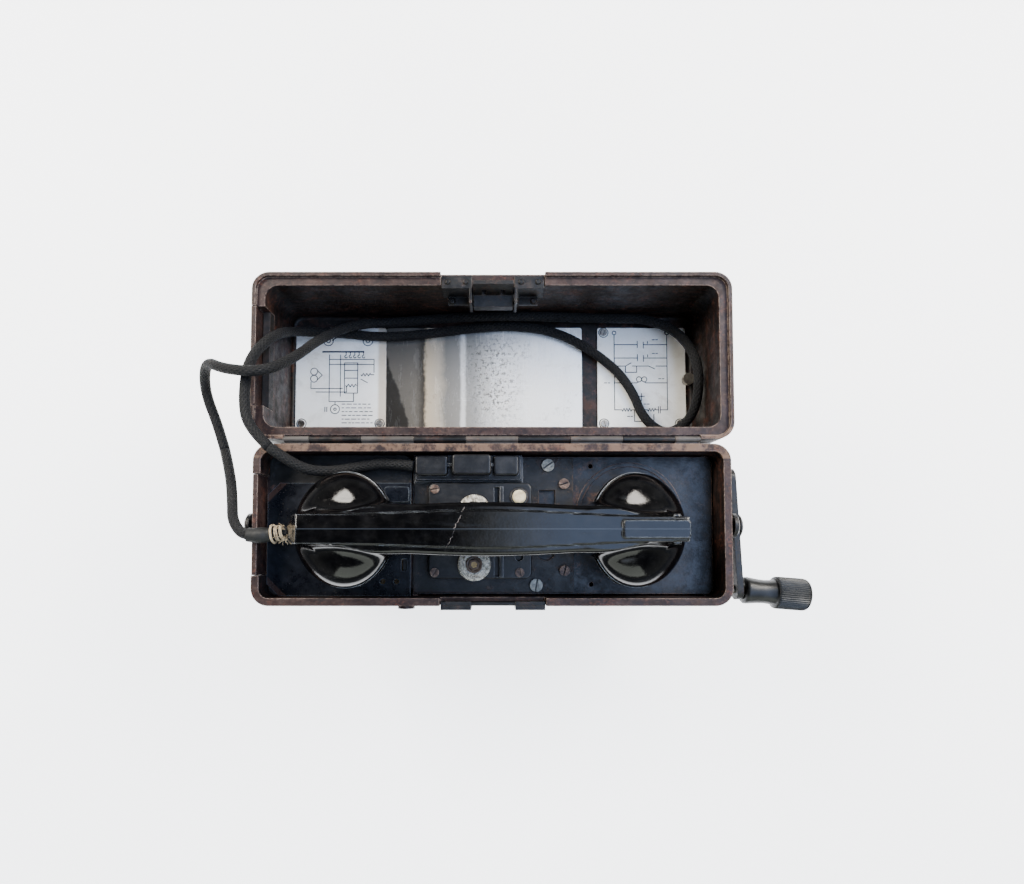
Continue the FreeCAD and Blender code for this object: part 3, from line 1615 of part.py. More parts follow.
def make_gear(name, teeth, x, height, turn, bore):
    """A spur gear about an axis along X, as one computed solid."""
    corners = [Vector(0, a, b) for a, b in gear_outline(teeth, float(d.tooth_module))]
    blank = Part.Face(Part.makePolygon(corners + corners[:1])).extrude(vector(d.gear_width, 0, 0))
    blank.rotate(Vector(), AXES["X"], turn)
    hole = Part.makeCylinder(float(bore), float(d.gear_width) + OVER * 2, Vector(-OVER, 0, 0), AXES["X"])
    gear = doc.addObject("Part::Feature", name)
    gear.Shape = blank.cut(hole)
    return place(gear, (x, 0, height))


gear_teeth = int(round(float(d.gear_teeth)))
pinion_teeth = int(round(float(d.pinion_teeth)))
armature_height = crank_height - (d.gear_teeth + d.pinion_teeth) * d.tooth_module / 2
armature_shaft_radius = d.shaft_radius * 0.6
node(
    "drive_gear",
    make_gear("drive_gear", gear_teeth, d.gear_x, crank_height, 180 / gear_teeth, shaft_bore),
)
# A tooth gap of the drive gear faces straight down or a tooth does, so the pinion's tooth is set to match.
gap_down = (270 - 180 / gear_teeth) % (360 / gear_teeth)
pinion_turn = 90 + 180 / pinion_teeth - (gap_down * gear_teeth / pinion_teeth)


def make_armature():
    left = d.frame_left + d.frame_plate + d.armature_end_gap
    right = d.frame_right - d.armature_end_gap
    half_slot = d.winding_width / 2
    half_height = d.winding_height / 2
    slots = [
        box(
            f"armature_slot_{i}",
            (left - OVER, middle - half_slot, armature_height - half_height),
            (right + OVER, middle + half_slot, armature_height + half_height),
        )
        for i, middle in enumerate((-d.winding_offset, d.winding_offset))
    ]
    core = rod("armature_drum", (left, 0, armature_height), d.armature_radius, right - left, "X")
    iron = cut("armature_iron", core, slots)
    shaft_start = d.frame_left - d.frame_plate
    shaft = rod(
        "armature_shaft",
        (shaft_start, 0, armature_height),
        armature_shaft_radius,
        d.gear_x + d.gear_width + d.frame_plate - shaft_start,
        "X",
    )
    pinion = make_gear(
        "pinion_wheel",
        pinion_teeth,
        d.gear_x,
        armature_height,
        pinion_turn,
        armature_shaft_radius - d.fit_gap,
    )
    spindle = fuse("armature_spindle", [iron, shaft, pinion])
    clear = d.running_gap * 2
    windings = [
        common(
            f"winding_{i}",
            [
                box(
                    f"winding_block_{i}",
                    (left + OVER, middle - half_slot + clear, armature_height - half_height + clear),
                    (right - OVER, middle + half_slot - clear, armature_height + half_height - clear),
                ),
                rod(
                    f"winding_round_{i}",
                    (left, 0, armature_height),
                    d.armature_radius - d.fit_gap,
                    right - left,
                    "X",
                ),
            ],
        )
        for i, middle in enumerate((-d.winding_offset, d.winding_offset))
    ]
    node("armature", group("armature", [spindle, *windings]))


make_armature()


def make_generator():
    plates = []
    for name, x in (("left", d.frame_left), ("right", d.frame_right)):
        blank = box(
            f"frame_blank_{name}",
            (x, -d.frame_half, d.frame_bottom),
            (x + d.frame_plate, d.frame_half, panel_bottom),
        )
        plates.append(
            cut(
                f"frame_{name}",
                blank,
                [
                    rod(
                        f"frame_crank_bore_{name}",
                        (x - OVER, 0, crank_height),
                        shaft_bore,
                        d.frame_plate + OVER * 2,
                        "X",
                    ),
                    rod(
                        f"frame_armature_bore_{name}",
                        (x - OVER, 0, armature_height),
                        armature_shaft_radius + d.running_gap,
                        d.frame_plate + OVER * 2,
                        "X",
                    ),
                ],
            )
        )
    node("generator_frame", group("generator_frame", plates))
    inner = d.armature_radius + d.armature_gap
    outer = inner + d.magnet_thickness
    room = d.frame_right - d.frame_left - d.frame_plate
    pitch = room / d.magnet_count
    magnets = []
    for i in range(int(round(float(d.magnet_count)))):
        left = d.frame_left + d.frame_plate + pitch * i + (pitch - d.magnet_width) / 2
        bar = box(
            f"magnet_bar_{i}",
            (left, -outer, d.frame_bottom + OVER * 2),
            (left + d.magnet_width, outer, armature_height + inner + d.magnet_top),
        )
        space = box(
            f"magnet_space_{i}",
            (left - OVER, -inner, d.frame_bottom),
            (left + d.magnet_width + OVER, inner, armature_height + inner),
        )
        magnets.append(cut(f"magnet_{i}", bar, [space]))
    half_tie = d.tie_thickness / 2
    tie_bottom = d.frame_bottom + d.tie_thickness
    ties = [
        box(
            f"magnet_tie_{side}",
            (d.frame_left + d.frame_plate, side * (outer + half_tie) - half_tie, tie_bottom),
            (d.frame_right, side * (outer + half_tie) + half_tie, tie_bottom + d.tie_height),
        )
        for side in (-1, 1)
    ]
    node("magnets", group("magnets", magnets + ties))


make_generator()


# A gong's curve: parts of its radius and depth
GONG_CURVE = ((1, 0), (0.97, 0.45), (0.87, 0.78), (0.66, 0.96))


# The ringer: a plate under the panel, two gongs, two coils and a hammer
def make_ringer():
    plate = box(
        "ringer_plate",
        (partition_right + d.fit_gap, d.ringer_plate_y, floor_top),
        (
            d.frame_left - d.frame_plate - OVER,
            d.ringer_plate_y + d.ringer_plate,
            socket_bottom - OVER,
        ),
    )
    gong_front = d.ringer_plate_y - d.gong_reach
    posts = [
        rod(
            f"gong_post_{side}",
            (d.ringer_x + side * d.gong_spacing / 2, gong_front - OVER * 2, d.gong_height),
            d.post_radius,
            d.gong_reach + OVER * 2,
            "Y",
        )
        for side in (-1, 1)
    ]
    pivot_length = d.gong_reach * 0.6
    pivot = rod(
        "hammer_pivot",
        (d.ringer_x, d.ringer_plate_y - pivot_length, d.hammer_pivot),
        d.pivot_radius,
        pivot_length,
        "Y",
    )
    node("ringer_frame", fuse("ringer_frame", [plate, *posts, pivot]))
    gongs = []
    for side in (-1, 1):
        outer = [(d.gong_radius * across, d.gong_depth * up) for across, up in GONG_CURVE]
        inner = [
            ((d.gong_radius - d.gong_wall) * across, (d.gong_depth - d.gong_wall) * up)
            for across, up in reversed(GONG_CURVE)
        ]
        bore = d.post_radius + d.running_gap
        profile = [(bore, d.gong_depth - d.gong_wall), *inner, *outer, (bore, d.gong_depth)]
        gongs.append(
            turned(
                f"gong_{'left' if side < 0 else 'right'}",
                profile,
                (d.ringer_x + side * d.gong_spacing / 2, gong_front + d.gong_depth, d.gong_height),
                Vector(0, -1, 0),
            )
        )
    node("gongs", group("gongs", gongs))
    hammer_y = gong_front + d.gong_depth - d.hammer_reach
    half_bar = d.hammer_bar / 2
    hammer = fuse(
        "bell_hammer",
        [
            ball("hammer_ball", (d.ringer_x, hammer_y, d.gong_height), d.hammer_ball),
            rod(
                "hammer_arm",
                (d.ringer_x, hammer_y, d.gong_height),
                d.hammer_rod,
                d.hammer_pivot - d.gong_height,
            ),
            rod(
                "hammer_hub",
                (d.ringer_x, hammer_y - half_bar, d.hammer_pivot),
                d.pivot_radius * 3,
                half_bar * 3,
                "Y",
            ),
            box(
                "hammer_armature",
                (d.ringer_x - d.hammer_half, hammer_y - half_bar, d.hammer_pivot + half_bar * 1.5),
                (d.ringer_x + d.hammer_half, hammer_y + half_bar, d.hammer_pivot + half_bar * 3),
            ),
        ],
    )
    node(
        "bell_hammer",
        cut(
            "bell_hammer_bored",
            hammer,
            [
                rod(
                    "hammer_bore",
                    (d.ringer_x, hammer_y - d.hammer_bar, d.hammer_pivot),
                    d.pivot_radius + d.running_gap,
                    d.hammer_bar * 2.5,
                    "Y",
                )
            ],
        ),
    )
    coils = []
    for side in (-1, 1):
        x = d.ringer_x + side * d.coil_spacing / 2
        bottom = d.hammer_pivot + d.hammer_bar * 2
        top = bottom + d.coil_length
        coils.append(
            fuse(
                f"ringer_coil_{side}",
                [
                    rod(f"coil_core_{side}", (x, hammer_y, bottom), d.core_radius, d.coil_length),
                    rod(
                        f"coil_wire_{side}",
                        (x, hammer_y, bottom + d.coil_cheek),
                        d.coil_radius,
                        d.coil_length - d.coil_cheek * 2,
                    ),
                    rod(
                        f"coil_cheek_{side}",
                        (x, hammer_y, top - d.coil_cheek - OVER),
                        d.coil_radius + OVER,
                        d.coil_cheek,
                    ),
                    box(
                        f"coil_yoke_{side}",
                        (x - d.yoke_width / 2, hammer_y - d.core_radius, top - d.coil_cheek),
                        (x + d.yoke_width / 2, d.ringer_plate_y, top + OVER),
                    ),
                ],
            )
        )
    node("ringer_coils", group("ringer_coils", coils))


make_ringer()


# Small parts of the circuit on the case's floor
def make_circuit():
    left = d.frame_left + d.bobbin_inset
    right = left + d.bobbin_length
    half = d.bobbin_width / 2
    bobbin = [
        rod("coil_body", (left, 0, floor_top + d.bobbin_height / 2), d.bobbin_radius, d.bobbin_length, "X")
    ]
    for name, x in (("left", left), ("right", right - d.bobbin_cheek)):
        bobbin.append(
            box(
                f"coil_end_{name}",
                (x, -half, floor_top),
                (x + d.bobbin_cheek, half, floor_top + d.bobbin_height),
            )
        )
    node("induction_coil", fuse("induction_coil", bobbin))
    can_right = inner_length - d.can_gap
    can_top = floor_top + d.can_height
    can = rounded_slab(
        "capacitor_can",
        can_right - d.can_length,
        can_right,
        -d.can_width / 2,
        d.can_width / 2,
        floor_top,
        can_top,
        d.can_corner,
    )
    lugs = [
        rod(
            f"capacitor_lug_{i}",
            (can_right - d.can_length / 2, d.lug_pitch / 2 * side, can_top - OVER),
            d.lug_radius,
            d.lug_height + OVER,
        )
        for i, side in enumerate((-1, 1))
    ]
    node("capacitor", fuse("capacitor", [can, *lugs]))


make_circuit()


# The plates in the lid
diagram_left = -lid_inner_length + d.lid_inner_radius + d.diagram_left_gap
diagram_right = lid_inner_length - d.lid_inner_radius - d.diagram_right_gap
diagram_front = lid_y - lid_inner_width + d.diagram_front_margin
diagram_back = lid_y + lid_inner_width - d.diagram_back_margin
diagram_top = lid_ceiling + d.diagram_thickness


def make_lid_plates():
    left_end = diagram_left + d.diagram_left_length
    right_start = diagram_right - d.diagram_right_length
    for name, left, right in (
        ("diagram_plate_left", diagram_left, left_end),
        ("polished_plate", left_end + d.polished_left_gap, right_start - d.polished_right_gap),
        ("diagram_plate_right", right_start, diagram_right),
    ):
        blank = rounded_slab(
            name + "_blank",
            left,
            right,
            diagram_front,
            diagram_back,
            lid_ceiling,
            diagram_top,
            d.diagram_corner,
        )
        if name == "diagram_plate_right":
            notch = rod(
                "diagram_notch", (diagram_right, knob_y, lid_ceiling - OVER), knob_room, THROUGH
            )
            blank = cut(name, blank, [notch])
        node(name, blank)
    left_screw = diagram_left + d.plate_screw_inset
    right_screw = diagram_right - d.plate_screw_inset
    front_screw = diagram_front + d.plate_screw_margin
    back_screw = diagram_back - d.plate_screw_margin
    places = (
        (left_screw, front_screw),
        (left_end - d.plate_screw_inset, front_screw),
        (right_start + d.plate_screw_inset, back_screw),
        (right_start + d.plate_screw_inset, front_screw),
        (right_screw, front_screw),
    )
    fasteners = [
        screw_head(f"plate_screw_{i}", x, y, diagram_top, d.plate_screw_radius, d.plate_screw_rise, 35 * i)
        for i, (x, y) in enumerate(places)
    ]
    knob_top = lid_ceiling + d.plate_knob_height
    fasteners.append(
        fuse(
            "plate_knob",
            [
                rod(
                    "plate_knob_post",
                    (diagram_right, knob_y, lid_ceiling),
                    d.plate_knob_neck,
                    d.plate_knob_height - OVER,
                ),
                rod(
                    "plate_knob_head",
                    (diagram_right, knob_y, knob_top - d.plate_knob_head),
                    d.plate_knob_radius,
                    d.plate_knob_head,
                ),
            ],
        )
    )
    node("plate_fasteners", group("plate_fasteners", fasteners))


knob_y = lid_y - d.plate_knob_shift
knob_room = d.plate_knob_neck + d.fit_gap * 2
make_lid_plates()


# The latch: a lever in a bracket on the lid, and the keeper on the case's front
def opened(y, z):
    """Where a point of the closed lid stands when the lid is folded back."""
    return hinge_y * 2 - y, hinge_z * 2 - z


latch_pin_y = d.latch_pin_y
latch_pin_z = rim + d.latch_pin_rise
pin_y, pin_z = opened(latch_pin_y, latch_pin_z)


def make_latch():
    wall_y = lid_y + lid_inner_width
    outer_y = lid_y + lid_half_width
    plate = d.bracket_plate
    ledge = lid_rim - d.latch_notch
    low = ledge - d.bracket_drop
    room_left = lever_left - d.lever_side_gap
    room_right = lever_right + d.lever_side_gap
    parts = []
    for name, left, right in (
        ("left", latch_left + d.bracket_gap, room_left),
        ("right", room_right, latch_right - d.bracket_gap),
    ):
        parts.append(
            box(
                f"bracket_seat_{name}",
                (left, wall_y - plate, ledge),
                (right, outer_y - plate, ledge + plate),
            )
        )
        parts.append(box(f"bracket_back_{name}", (left, wall_y - plate, low), (right, wall_y, ledge + plate)))
        parts.append(
            box(
                f"bracket_tab_{name}",
                (left + plate * 2, wall_y - d.bracket_tab, low),
                (right - plate * 2, wall_y, low + plate),
            )
        )
    for name, left in (("left", room_left - plate), ("right", room_right)):
        parts.append(
            box(
                f"bracket_cheek_{name}",
                (left, pin_y - d.lever_boss * 1.2, low),
                (left + plate, wall_y, ledge + plate),
            )
        )
    parts.append(
        box(
            "bracket_strap",
            (room_left, wall_y - plate, low),
            (room_right, wall_y, low + d.bracket_drop * 0.4),
        )
    )
    bore = rod(
        "bracket_bore",
        (room_left - plate - OVER, pin_y, pin_z),
        d.latch_pin_radius + d.running_gap,
        room_right - room_left + plate * 2 + OVER * 2,
        "X",
    )
    node("latch_bracket", cut("latch_bracket", fuse("bracket_blank", parts), [bore]))
    node(
        "latch_pin",
        rod(
            "latch_pin",
            (room_left - plate * 1.7, pin_y, pin_z),
            d.latch_pin_radius,
            room_right - room_left + plate * 3.4,
            "X",
        ),
    )
    rivets = []
    for i, x in enumerate((latch_left + d.tab_rivet_inset, latch_right - d.tab_rivet_inset)):
        rivets.append(
            cone(
                f"latch_rivet_{i}",
                (x, wall_y - d.bracket_tab * 0.65, low + plate),
                d.rivet_radius,
                d.rivet_radius * 0.6,
                d.rivet_radius * 0.5,
            )
        )
    seat_places = (
        latch_left + d.seat_rivet_inset,
        lever_left - d.seat_rivet_gap,
        lever_right + d.seat_rivet_gap,
        latch_right - d.seat_rivet_inset,
    )
    for i, x in enumerate(seat_places):
        rivets.append(
            cone(
                f"seat_rivet_{i}",
                (x, outer_y - d.lid_ledge, ledge + plate),
                d.rivet_radius * 0.8,
                d.rivet_radius * 0.5,
                d.rivet_radius * 0.36,
            )
        )
    node("latch_rivets", group("latch_rivets", rivets))
    # The lever's outline with the lid closed: (across, up), from the pin down to the hook
    boss = d.lever_boss
    outer = d.lever_reach + d.lever_sheet
    closed = [
        (latch_pin_y + boss, latch_pin_z + boss),
        (latch_pin_y + boss, latch_pin_z - boss),
        (latch_pin_y - d.lever_reach * 0.7, latch_pin_z - boss * 1.46),
        (latch_pin_y - d.lever_reach, latch_pin_z - d.lever_drop),
        (latch_pin_y - outer, latch_pin_z - d.lever_drop),
        (latch_pin_y - outer, latch_pin_z - d.lever_drop * 0.9),
        (latch_pin_y - outer * 0.92, latch_pin_z - d.lever_drop * 0.86),
        (latch_pin_y - outer * 0.89, latch_pin_z - boss * 1.33),
        (latch_pin_y - boss, latch_pin_z + boss),
    ]
    profile = [opened(y, z) for y, z in closed]
    lever = slab("lever_blank", "YZ", profile, lever_left, lever_right)
    slots = [
        box(
            f"lever_slot_{name}",
            (left, pin_y - boss * 3, pin_z + boss * 1.6),
            (left + d.lever_slot_width, pin_y + outer + boss, pin_z + d.lever_drop * 0.63),
        )
        for name, left in (
            ("left", lever_left + d.lever_slot_inset),
            ("right", lever_right - d.lever_slot_inset - d.lever_slot_width),
        )
    ]
    pin_bore = rod(
        "lever_bore",
        (lever_left - OVER, pin_y, pin_z),
        d.latch_pin_radius + d.running_gap,
        d.lever_length + OVER * 2,
        "X",
    )
    node("latch_lever", cut("latch_lever", lever, [pin_bore, *slots]))
    bar_z = rim - d.keeper_drop * 0.4
    bar_y = -half_width + d.keeper_sheet / 2
    tabs = []
    for name, left, right in (
        ("left", latch_left + d.fit_gap * 2, lever_left - OVER),
        ("right", lever_right + OVER, latch_right - d.fit_gap * 2),
    ):
        tabs.append(
            box(
                f"keeper_tab_{name}",
                (left, -half_width - d.keeper_sheet, rim - d.keeper_drop - d.keeper_length),
                (right, -half_width, rim - d.keeper_sheet / 2),
            )
        )
        tabs.append(
            box(
                f"keeper_foot_{name}",
                (left, -half_width - OVER, bar_z - d.keeper_bar * 1.4),
                (right, -half_width + d.keeper_sheet, bar_z + d.keeper_bar * 1.4),
            )
        )
    tabs.append(
        rod(
            "keeper_bar",
            (latch_left + d.keeper_bar, bar_y, bar_z),
            d.keeper_bar,
            d.latch_length - d.keeper_bar * 2,
            "X",
        )
    )
    node("latch_keeper", fuse("latch_keeper", tabs))


make_latch()


# The handset, drawn about its own middle and then laid across the panel and the battery cover
tilt = math.radians(d.cap_tilt)
lowest = d.cap_face * math.sin(tilt)
face_height = lowest


def cap_axis(side):
    return Vector(side * math.sin(tilt), 0, math.cos(tilt))


def cap_place(side, depth):
    """A point on a cap's axis, behind its face, in the handset's own frame."""
    return (cap_offset * side + depth * cap_axis(side).x, 0, face_height + depth * cap_axis(side).z)


# Holes in the caps: radius of each ring in millimetres, and how many it has
MOUTH_HOLES = ((0, 1), (7, 6), (14, 12))
EAR_HOLES = ((0, 1), (8, 6))


def make_handset():
    section = [
        (-d.ridge_flat / 2, d.ridge_height),
        (d.ridge_flat / 2, d.ridge_height),
        (d.shoulder_width / 2, d.shoulder_height),
        (d.waist_width / 2, d.waist_height),
        (d.belly_width / 2, d.belly_height),
        (-d.belly_width / 2, d.belly_height),
        (-d.waist_width / 2, d.waist_height),
        (-d.shoulder_width / 2, d.shoulder_height),
    ]
    bar = slab("handle_bar", "YZ", section, -d.ridge_half - 12, d.ridge_half + 12)
    end = d.ridge_half + 8
    profile = [
        (-end, d.belly_height),
        (-d.ridge_half * 0.86, d.belly_height - 6),
        (-d.ridge_half * 0.6, d.belly_height),
        (d.ridge_half * 0.6, d.belly_height),
        (d.ridge_half * 0.86, d.belly_height - 6),
        (end, d.belly_height),
        (d.ridge_half, d.ridge_height - 1),
        (d.ridge_half * 0.7, d.ridge_height),
        (-d.ridge_half * 0.7, d.ridge_height),
        (-d.ridge_half, d.ridge_height - 1),
    ]
    side_shape = slab("handle_side", "XZ", profile, -d.waist_width, d.waist_width)
    handle = cut(
        "handle",
        common("handle_blank", [bar, side_shape]),
        [
            rod(
                f"handle_trim_{side}",
                cap_place(side, -OVER * 4),
                d.cap_radius + d.fit_gap,
                d.cap_depth + OVER * 4,
                cap_axis(side),
            )
            for side in (-1, 1)
        ],
    )
    pieces = [handle]
    bores = []
    for name, side in (("mouth", -1), ("ear", 1)):
        crown = d.cap_depth + d.cup_depth
        outline = [
            (0, d.cap_depth),
            (d.cap_radius - 0.6, d.cap_depth),
            (
                d.cap_radius - 0.8,
                d.cap_depth + 3,
                (d.cap_radius * 0.84, d.cap_depth + d.cup_depth * 0.66),
            ),
            (d.cup_top, crown - 0.6),
            (0, crown),
        ]
        pieces.append(turned(f"{name}_cup", outline, cap_place(side, 0), cap_axis(side)))
        bores.append(
            rod(
                f"{name}_cup_bore",
                cap_place(side, d.cap_depth - OVER),
                d.cup_bore,
                d.cup_bore_depth + OVER,
                cap_axis(side),
            )
        )
    pad_right = d.ridge_half - d.pad_inset
    pad = box(
        "handset_pad",
        (pad_right - d.pad_length, -d.pad_width / 2, d.shoulder_height),
        (pad_right, d.pad_width / 2, d.ridge_height + d.pad_rise),
    )
    slot = box(
        "key_slot",
        (-d.key_half - d.fit_gap, -d.key_width / 2 - d.fit_gap, d.belly_height - OVER),
        (d.key_half + d.fit_gap, d.key_width / 2 + d.fit_gap, d.belly_height + d.key_slot),
    )
    key_x = -d.key_half + d.key_pin_inset
    key_z = d.belly_height + d.key_pin_rise
    key_pin_bore = rod(
        "key_pin_bore",
        (key_x, -d.key_width * 0.75, key_z),
        d.key_pin_radius + d.running_gap,
        d.key_width * 1.5,
        "Y",
    )
    blank = fuse("handset_blank", [*pieces, pad])
    node("handset_body", cut("handset_body", blank, [slot, key_pin_bore, *bores]))
    for name, side, rings in (("mouth_cap", -1, MOUTH_HOLES), ("ear_cap", 1, EAR_HOLES)):
        outline = [
            (0, 0),
            (d.cap_face, 0),
            (d.cap_radius, d.cap_widest),
            (d.cap_radius, d.cap_depth),
            (d.cup_bore, d.cap_depth),
            (d.cup_bore, d.cap_wall),
            (0, d.cap_wall),
        ]
        blank = turned(name + "_blank", outline, cap_place(side, 0), cap_axis(side))
        turn = Rotation(AXES["Z"], cap_axis(side))
        holes = []
        for radius, count in rings:
            for i in range(count):
                angle = 2 * math.pi * i / count
                offset = turn.multVec(Vector(radius * math.cos(angle), radius * math.sin(angle), 0))
                start = [a + b for a, b in zip(cap_place(side, -OVER), offset)]
                holes.append(
                    rod(
                        f"{name}_hole_{radius}_{i}",
                        start,
                        d.cap_hole_radius,
                        d.cap_wall + OVER * 2,
                        cap_axis(side),
                    )
                )
        node(name, cut(name, blank, holes))
    for name, side in (("transmitter_capsule", -1), ("receiver_capsule", 1)):
        outline = [
            (0, 0),
            (d.capsule_radius, 0),
            (d.capsule_radius, d.capsule_depth - 3),
            (d.capsule_radius * 0.7, d.capsule_depth),
            (0, d.capsule_depth),
        ]
        node(name, turned(name, outline, cap_place(side, d.cap_wall + d.fit_gap), cap_axis(side)))
    key = box(
        "key_bar",
        (-d.key_half, -d.key_width / 2, d.belly_height - d.key_rise),
        (d.key_half, d.key_width / 2, d.belly_height + 2),
    )
    ear = box(
        "key_ear",
        (-d.key_half, -d.key_width / 2, d.belly_height - d.key_rise),
        (key_x + d.key_pin_radius * 4, d.key_width / 2, key_z + d.key_pin_radius * 2),
    )
    bore = rod(
        "key_bore",
        (key_x, -d.key_width, key_z),
        d.key_pin_radius + d.running_gap,
        d.key_width * 2,
        "Y",
    )
    node("talk_key", cut("talk_key", fuse("key_blank", [key, ear]), [bore]))
    node(
        "key_pin",
        rod(
            "key_pin",
            (key_x, -d.key_width * 0.7, key_z),
            d.key_pin_radius,
            d.key_width * 1.4,
            "Y",
        ),
    )


make_handset()

# The cap on the right rests on the panel and the one on the left on the battery cover, which is higher.
face_edge = float(cap_offset) + float(d.cap_face) * math.cos(tilt)
lean = math.asin(float(d.cover_rise) / (2 * face_edge))
handset_turn = Rotation(AXES["Y"], math.degrees(lean))
handset_middle = vector(
    d.handset_x, d.handset_y, (cover_top + panel_top) / 2 + d.fit_gap + d.ring_height
)
handset_placement = Placement(handset_middle, handset_turn)


def lay_handset(name):
    """Move a piece of the handset to where it lies in the open telephone."""
    source = nodes[name]
    doc.recompute()
    laid = doc.addObject("Part::Feature", name + "_laid")
    laid.Shape = source.Shape.copy()
    laid.Placement = handset_placement.multiply(source.Placement)
    source.Label = name + "_own_frame"
    node(name, laid)


for piece in (
    "handset_body",
    "ear_cap",
    "mouth_cap",
    "receiver_capsule",
    "transmitter_capsule",
    "talk_key",
    "key_pin",
):
    lay_handset(piece)


# The cord, a limp braided lead, in three lengths that meet end to end
CORD_HANDSET_END = [
    (-113.6, -4.0, 153.2),
    (-137.0, -7.5, 154.8),
    (-153.5, 9.5, 147.0),
    (-158.0, 31.0, 133.6),
    (-162.5, 45.5, 129.3),
]
CORD_LID_LOOP = [
    (-162.5, 45.5, 129.3),
    (-167.0, 60.0, 125.0),
    (-178.0, 86.0, 131.0),
    (-166.0, 99.0, 155.0),
    (-146.5, 84.0, 172.0),
    (-119.0, 88.0, 168.0),
    (-112.0, 104.0, 142.0),
    (-106.0, 121.0, 116.0),
    (-86.0, 134.0, 113.6),
    (-58.0, 136.2, 104.0),
    (-26.0, 136.8, 102.0),
    (8.0, 136.6, 102.6),
    (42.0, 136.9, 102.0),
    (75.0, 136.6, 102.4),
    (103.0, 136.0, 104.0),
    (124.0, 122.0, 112.0),
    (129.3, 98.0, 127.0),
    (129.0, 72.4, 125.0),
    (112.0, 60.4, 112.5),
    (95.0, 72.4, 101.2),
    (90.0, 96.0, 101.2),
    (73.0, 114.0, 101.2),
    (46.0, 126.6, 101.2),
    (16.0, 130.0, 101.2),
    (-16.0, 129.6, 101.2),
    (-46.0, 126.4, 101.2),
    (-74.0, 124.6, 101.2),
    (-100.0, 128.4, 101.2),
    (-129.0, 126.0, 110.0),
    (-129.0, 113.0, 142.0),
    (-139.5, 94.0, 160.0),
    (-141.0, 71.0, 160.4),
    (-137.4, 54.2, 162.2),
    (-125.4, 44.2, 160.6),
]
CORD_PLUG_END = [
    (-125.4, 44.2, 160.6),
    (-110.4, 31.7, 158.6),
    (-95.4, 30.9, 145.2),
    (-79.0, 34.5, 140.4),
    (-62.5, 36.8, 141.2),
    (-46.2, 34.4, 143.2),
]


def cord_path(name, points):
    """Straight runs joined by tangent arcs, each as large as its two runs allow."""
    route = [Vector(*point) for point in points]
    edges = []
    last = route[0]
    smallest = None
    for before, corner, after in zip(route, route[1:], route[2:]):
        into = corner.sub(before)
        out = after.sub(corner)
        turn = into.getAngle(out)
        reach = 0.45 * min(into.Length, out.Length)
        radius = reach / math.tan(turn / 2)
        smallest = min(smallest or radius, radius)
        start = corner.sub(into.normalize().multiply(reach))
        end = corner.add(out.normalize().multiply(reach))
        middle_way = start.add(end).multiply(0.5).sub(corner)
        depth = reach / math.cos(math.pi / 2 - turn / 2)
        to_arc = radius / math.cos(turn / 2) - radius
        middle = corner.add(middle_way.normalize().multiply(to_arc))
        edges.append(Part.LineSegment(last, start).toShape())
        edges.append(Part.Arc(start, middle, end).toShape())
        last = end
    edges.append(Part.LineSegment(last, route[-1]).toShape())
    length = sum(edge.Length for edge in edges)
    print(f"{name}: length {length:.0f} mm, smallest radius {smallest:.1f} mm")
    return Part.Wire(edges), length


def make_cord(name, points):
    path, length = cord_path(name, points)
    radius = float(d.cord_radius)
    start = Vector(*points[0])
    heading = Vector(*points[1]).sub(start)
    profile = Part.Wire(Part.makeCircle(radius, start, heading))
    tube = Part.makeSolid(path.makePipeShell([profile], True, False))
    expected = math.pi * radius**2 * length
    print(f"{name}: volume {tube.Volume / expected:.4f} of its section times its length")
    cord = doc.addObject("Part::Feature", name)
    cord.Shape = tube
    return node(name, cord)


make_cord("cord_handset_end", CORD_HANDSET_END)
make_cord("cord_lid_loop", CORD_LID_LOOP)
make_cord("cord_plug_end", CORD_PLUG_END)


def cord_ring(name, start, length, radius, end_radius):
    """A sleeve on the first run of the cord."""
    origin = Vector(*CORD_HANDSET_END[0])
    heading = Vector(*CORD_HANDSET_END[1]).sub(origin).normalize()
    at = origin.add(Vector(heading).multiply(start))
    ring = cut(
        name,
        cone(name + "_outside", at, radius, end_radius, length, heading),
        [rod(name + "_bore", at.sub(heading), d.cord_radius + d.running_gap * 2, length + OVER * 2, heading)],
    )
    return node(name, ring)


cord_ring("cord_collar", 0.3, 3, d.collar_radius, d.collar_radius)
cord_ring("cord_sleeve", 3.3, 9, d.sleeve_radius + 0.3, d.sleeve_radius)

doc.recompute()
faults = [
    f"{thing.Label}: {', '.join(thing.State)}"
    for thing in doc.Objects
    if "Invalid" in thing.State or "Error" in thing.State
]
for name, thing in nodes.items():
    if thing.Shape.isNull() or not thing.Shape.isValid() or not thing.Shape.Solids:
        faults.append(f"{name}: not a valid shape")
if faults:
    raise SystemExit("\n".join(faults))

os.makedirs("parts", exist_ok=True)
for name, thing in nodes.items():
    thing.Shape.exportStep(os.path.join("parts", name + ".step"))
    box_of = thing.Shape.BoundBox
    print(
        f"{name}: {len(thing.Shape.Solids)} solids, {thing.Shape.Volume:.0f} mm3, "
        f"x {box_of.XMin:.1f}..{box_of.XMax:.1f}, y {box_of.YMin:.1f}..{box_of.YMax:.1f}, "
        f"z {box_of.ZMin:.1f}..{box_of.ZMax:.1f}"
    )
print(f"{len(nodes)} nodes")
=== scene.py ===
import math
import random
from functools import reduce

import bmesh
import bpy
import numpy as np
from mathutils import Matrix, Vector


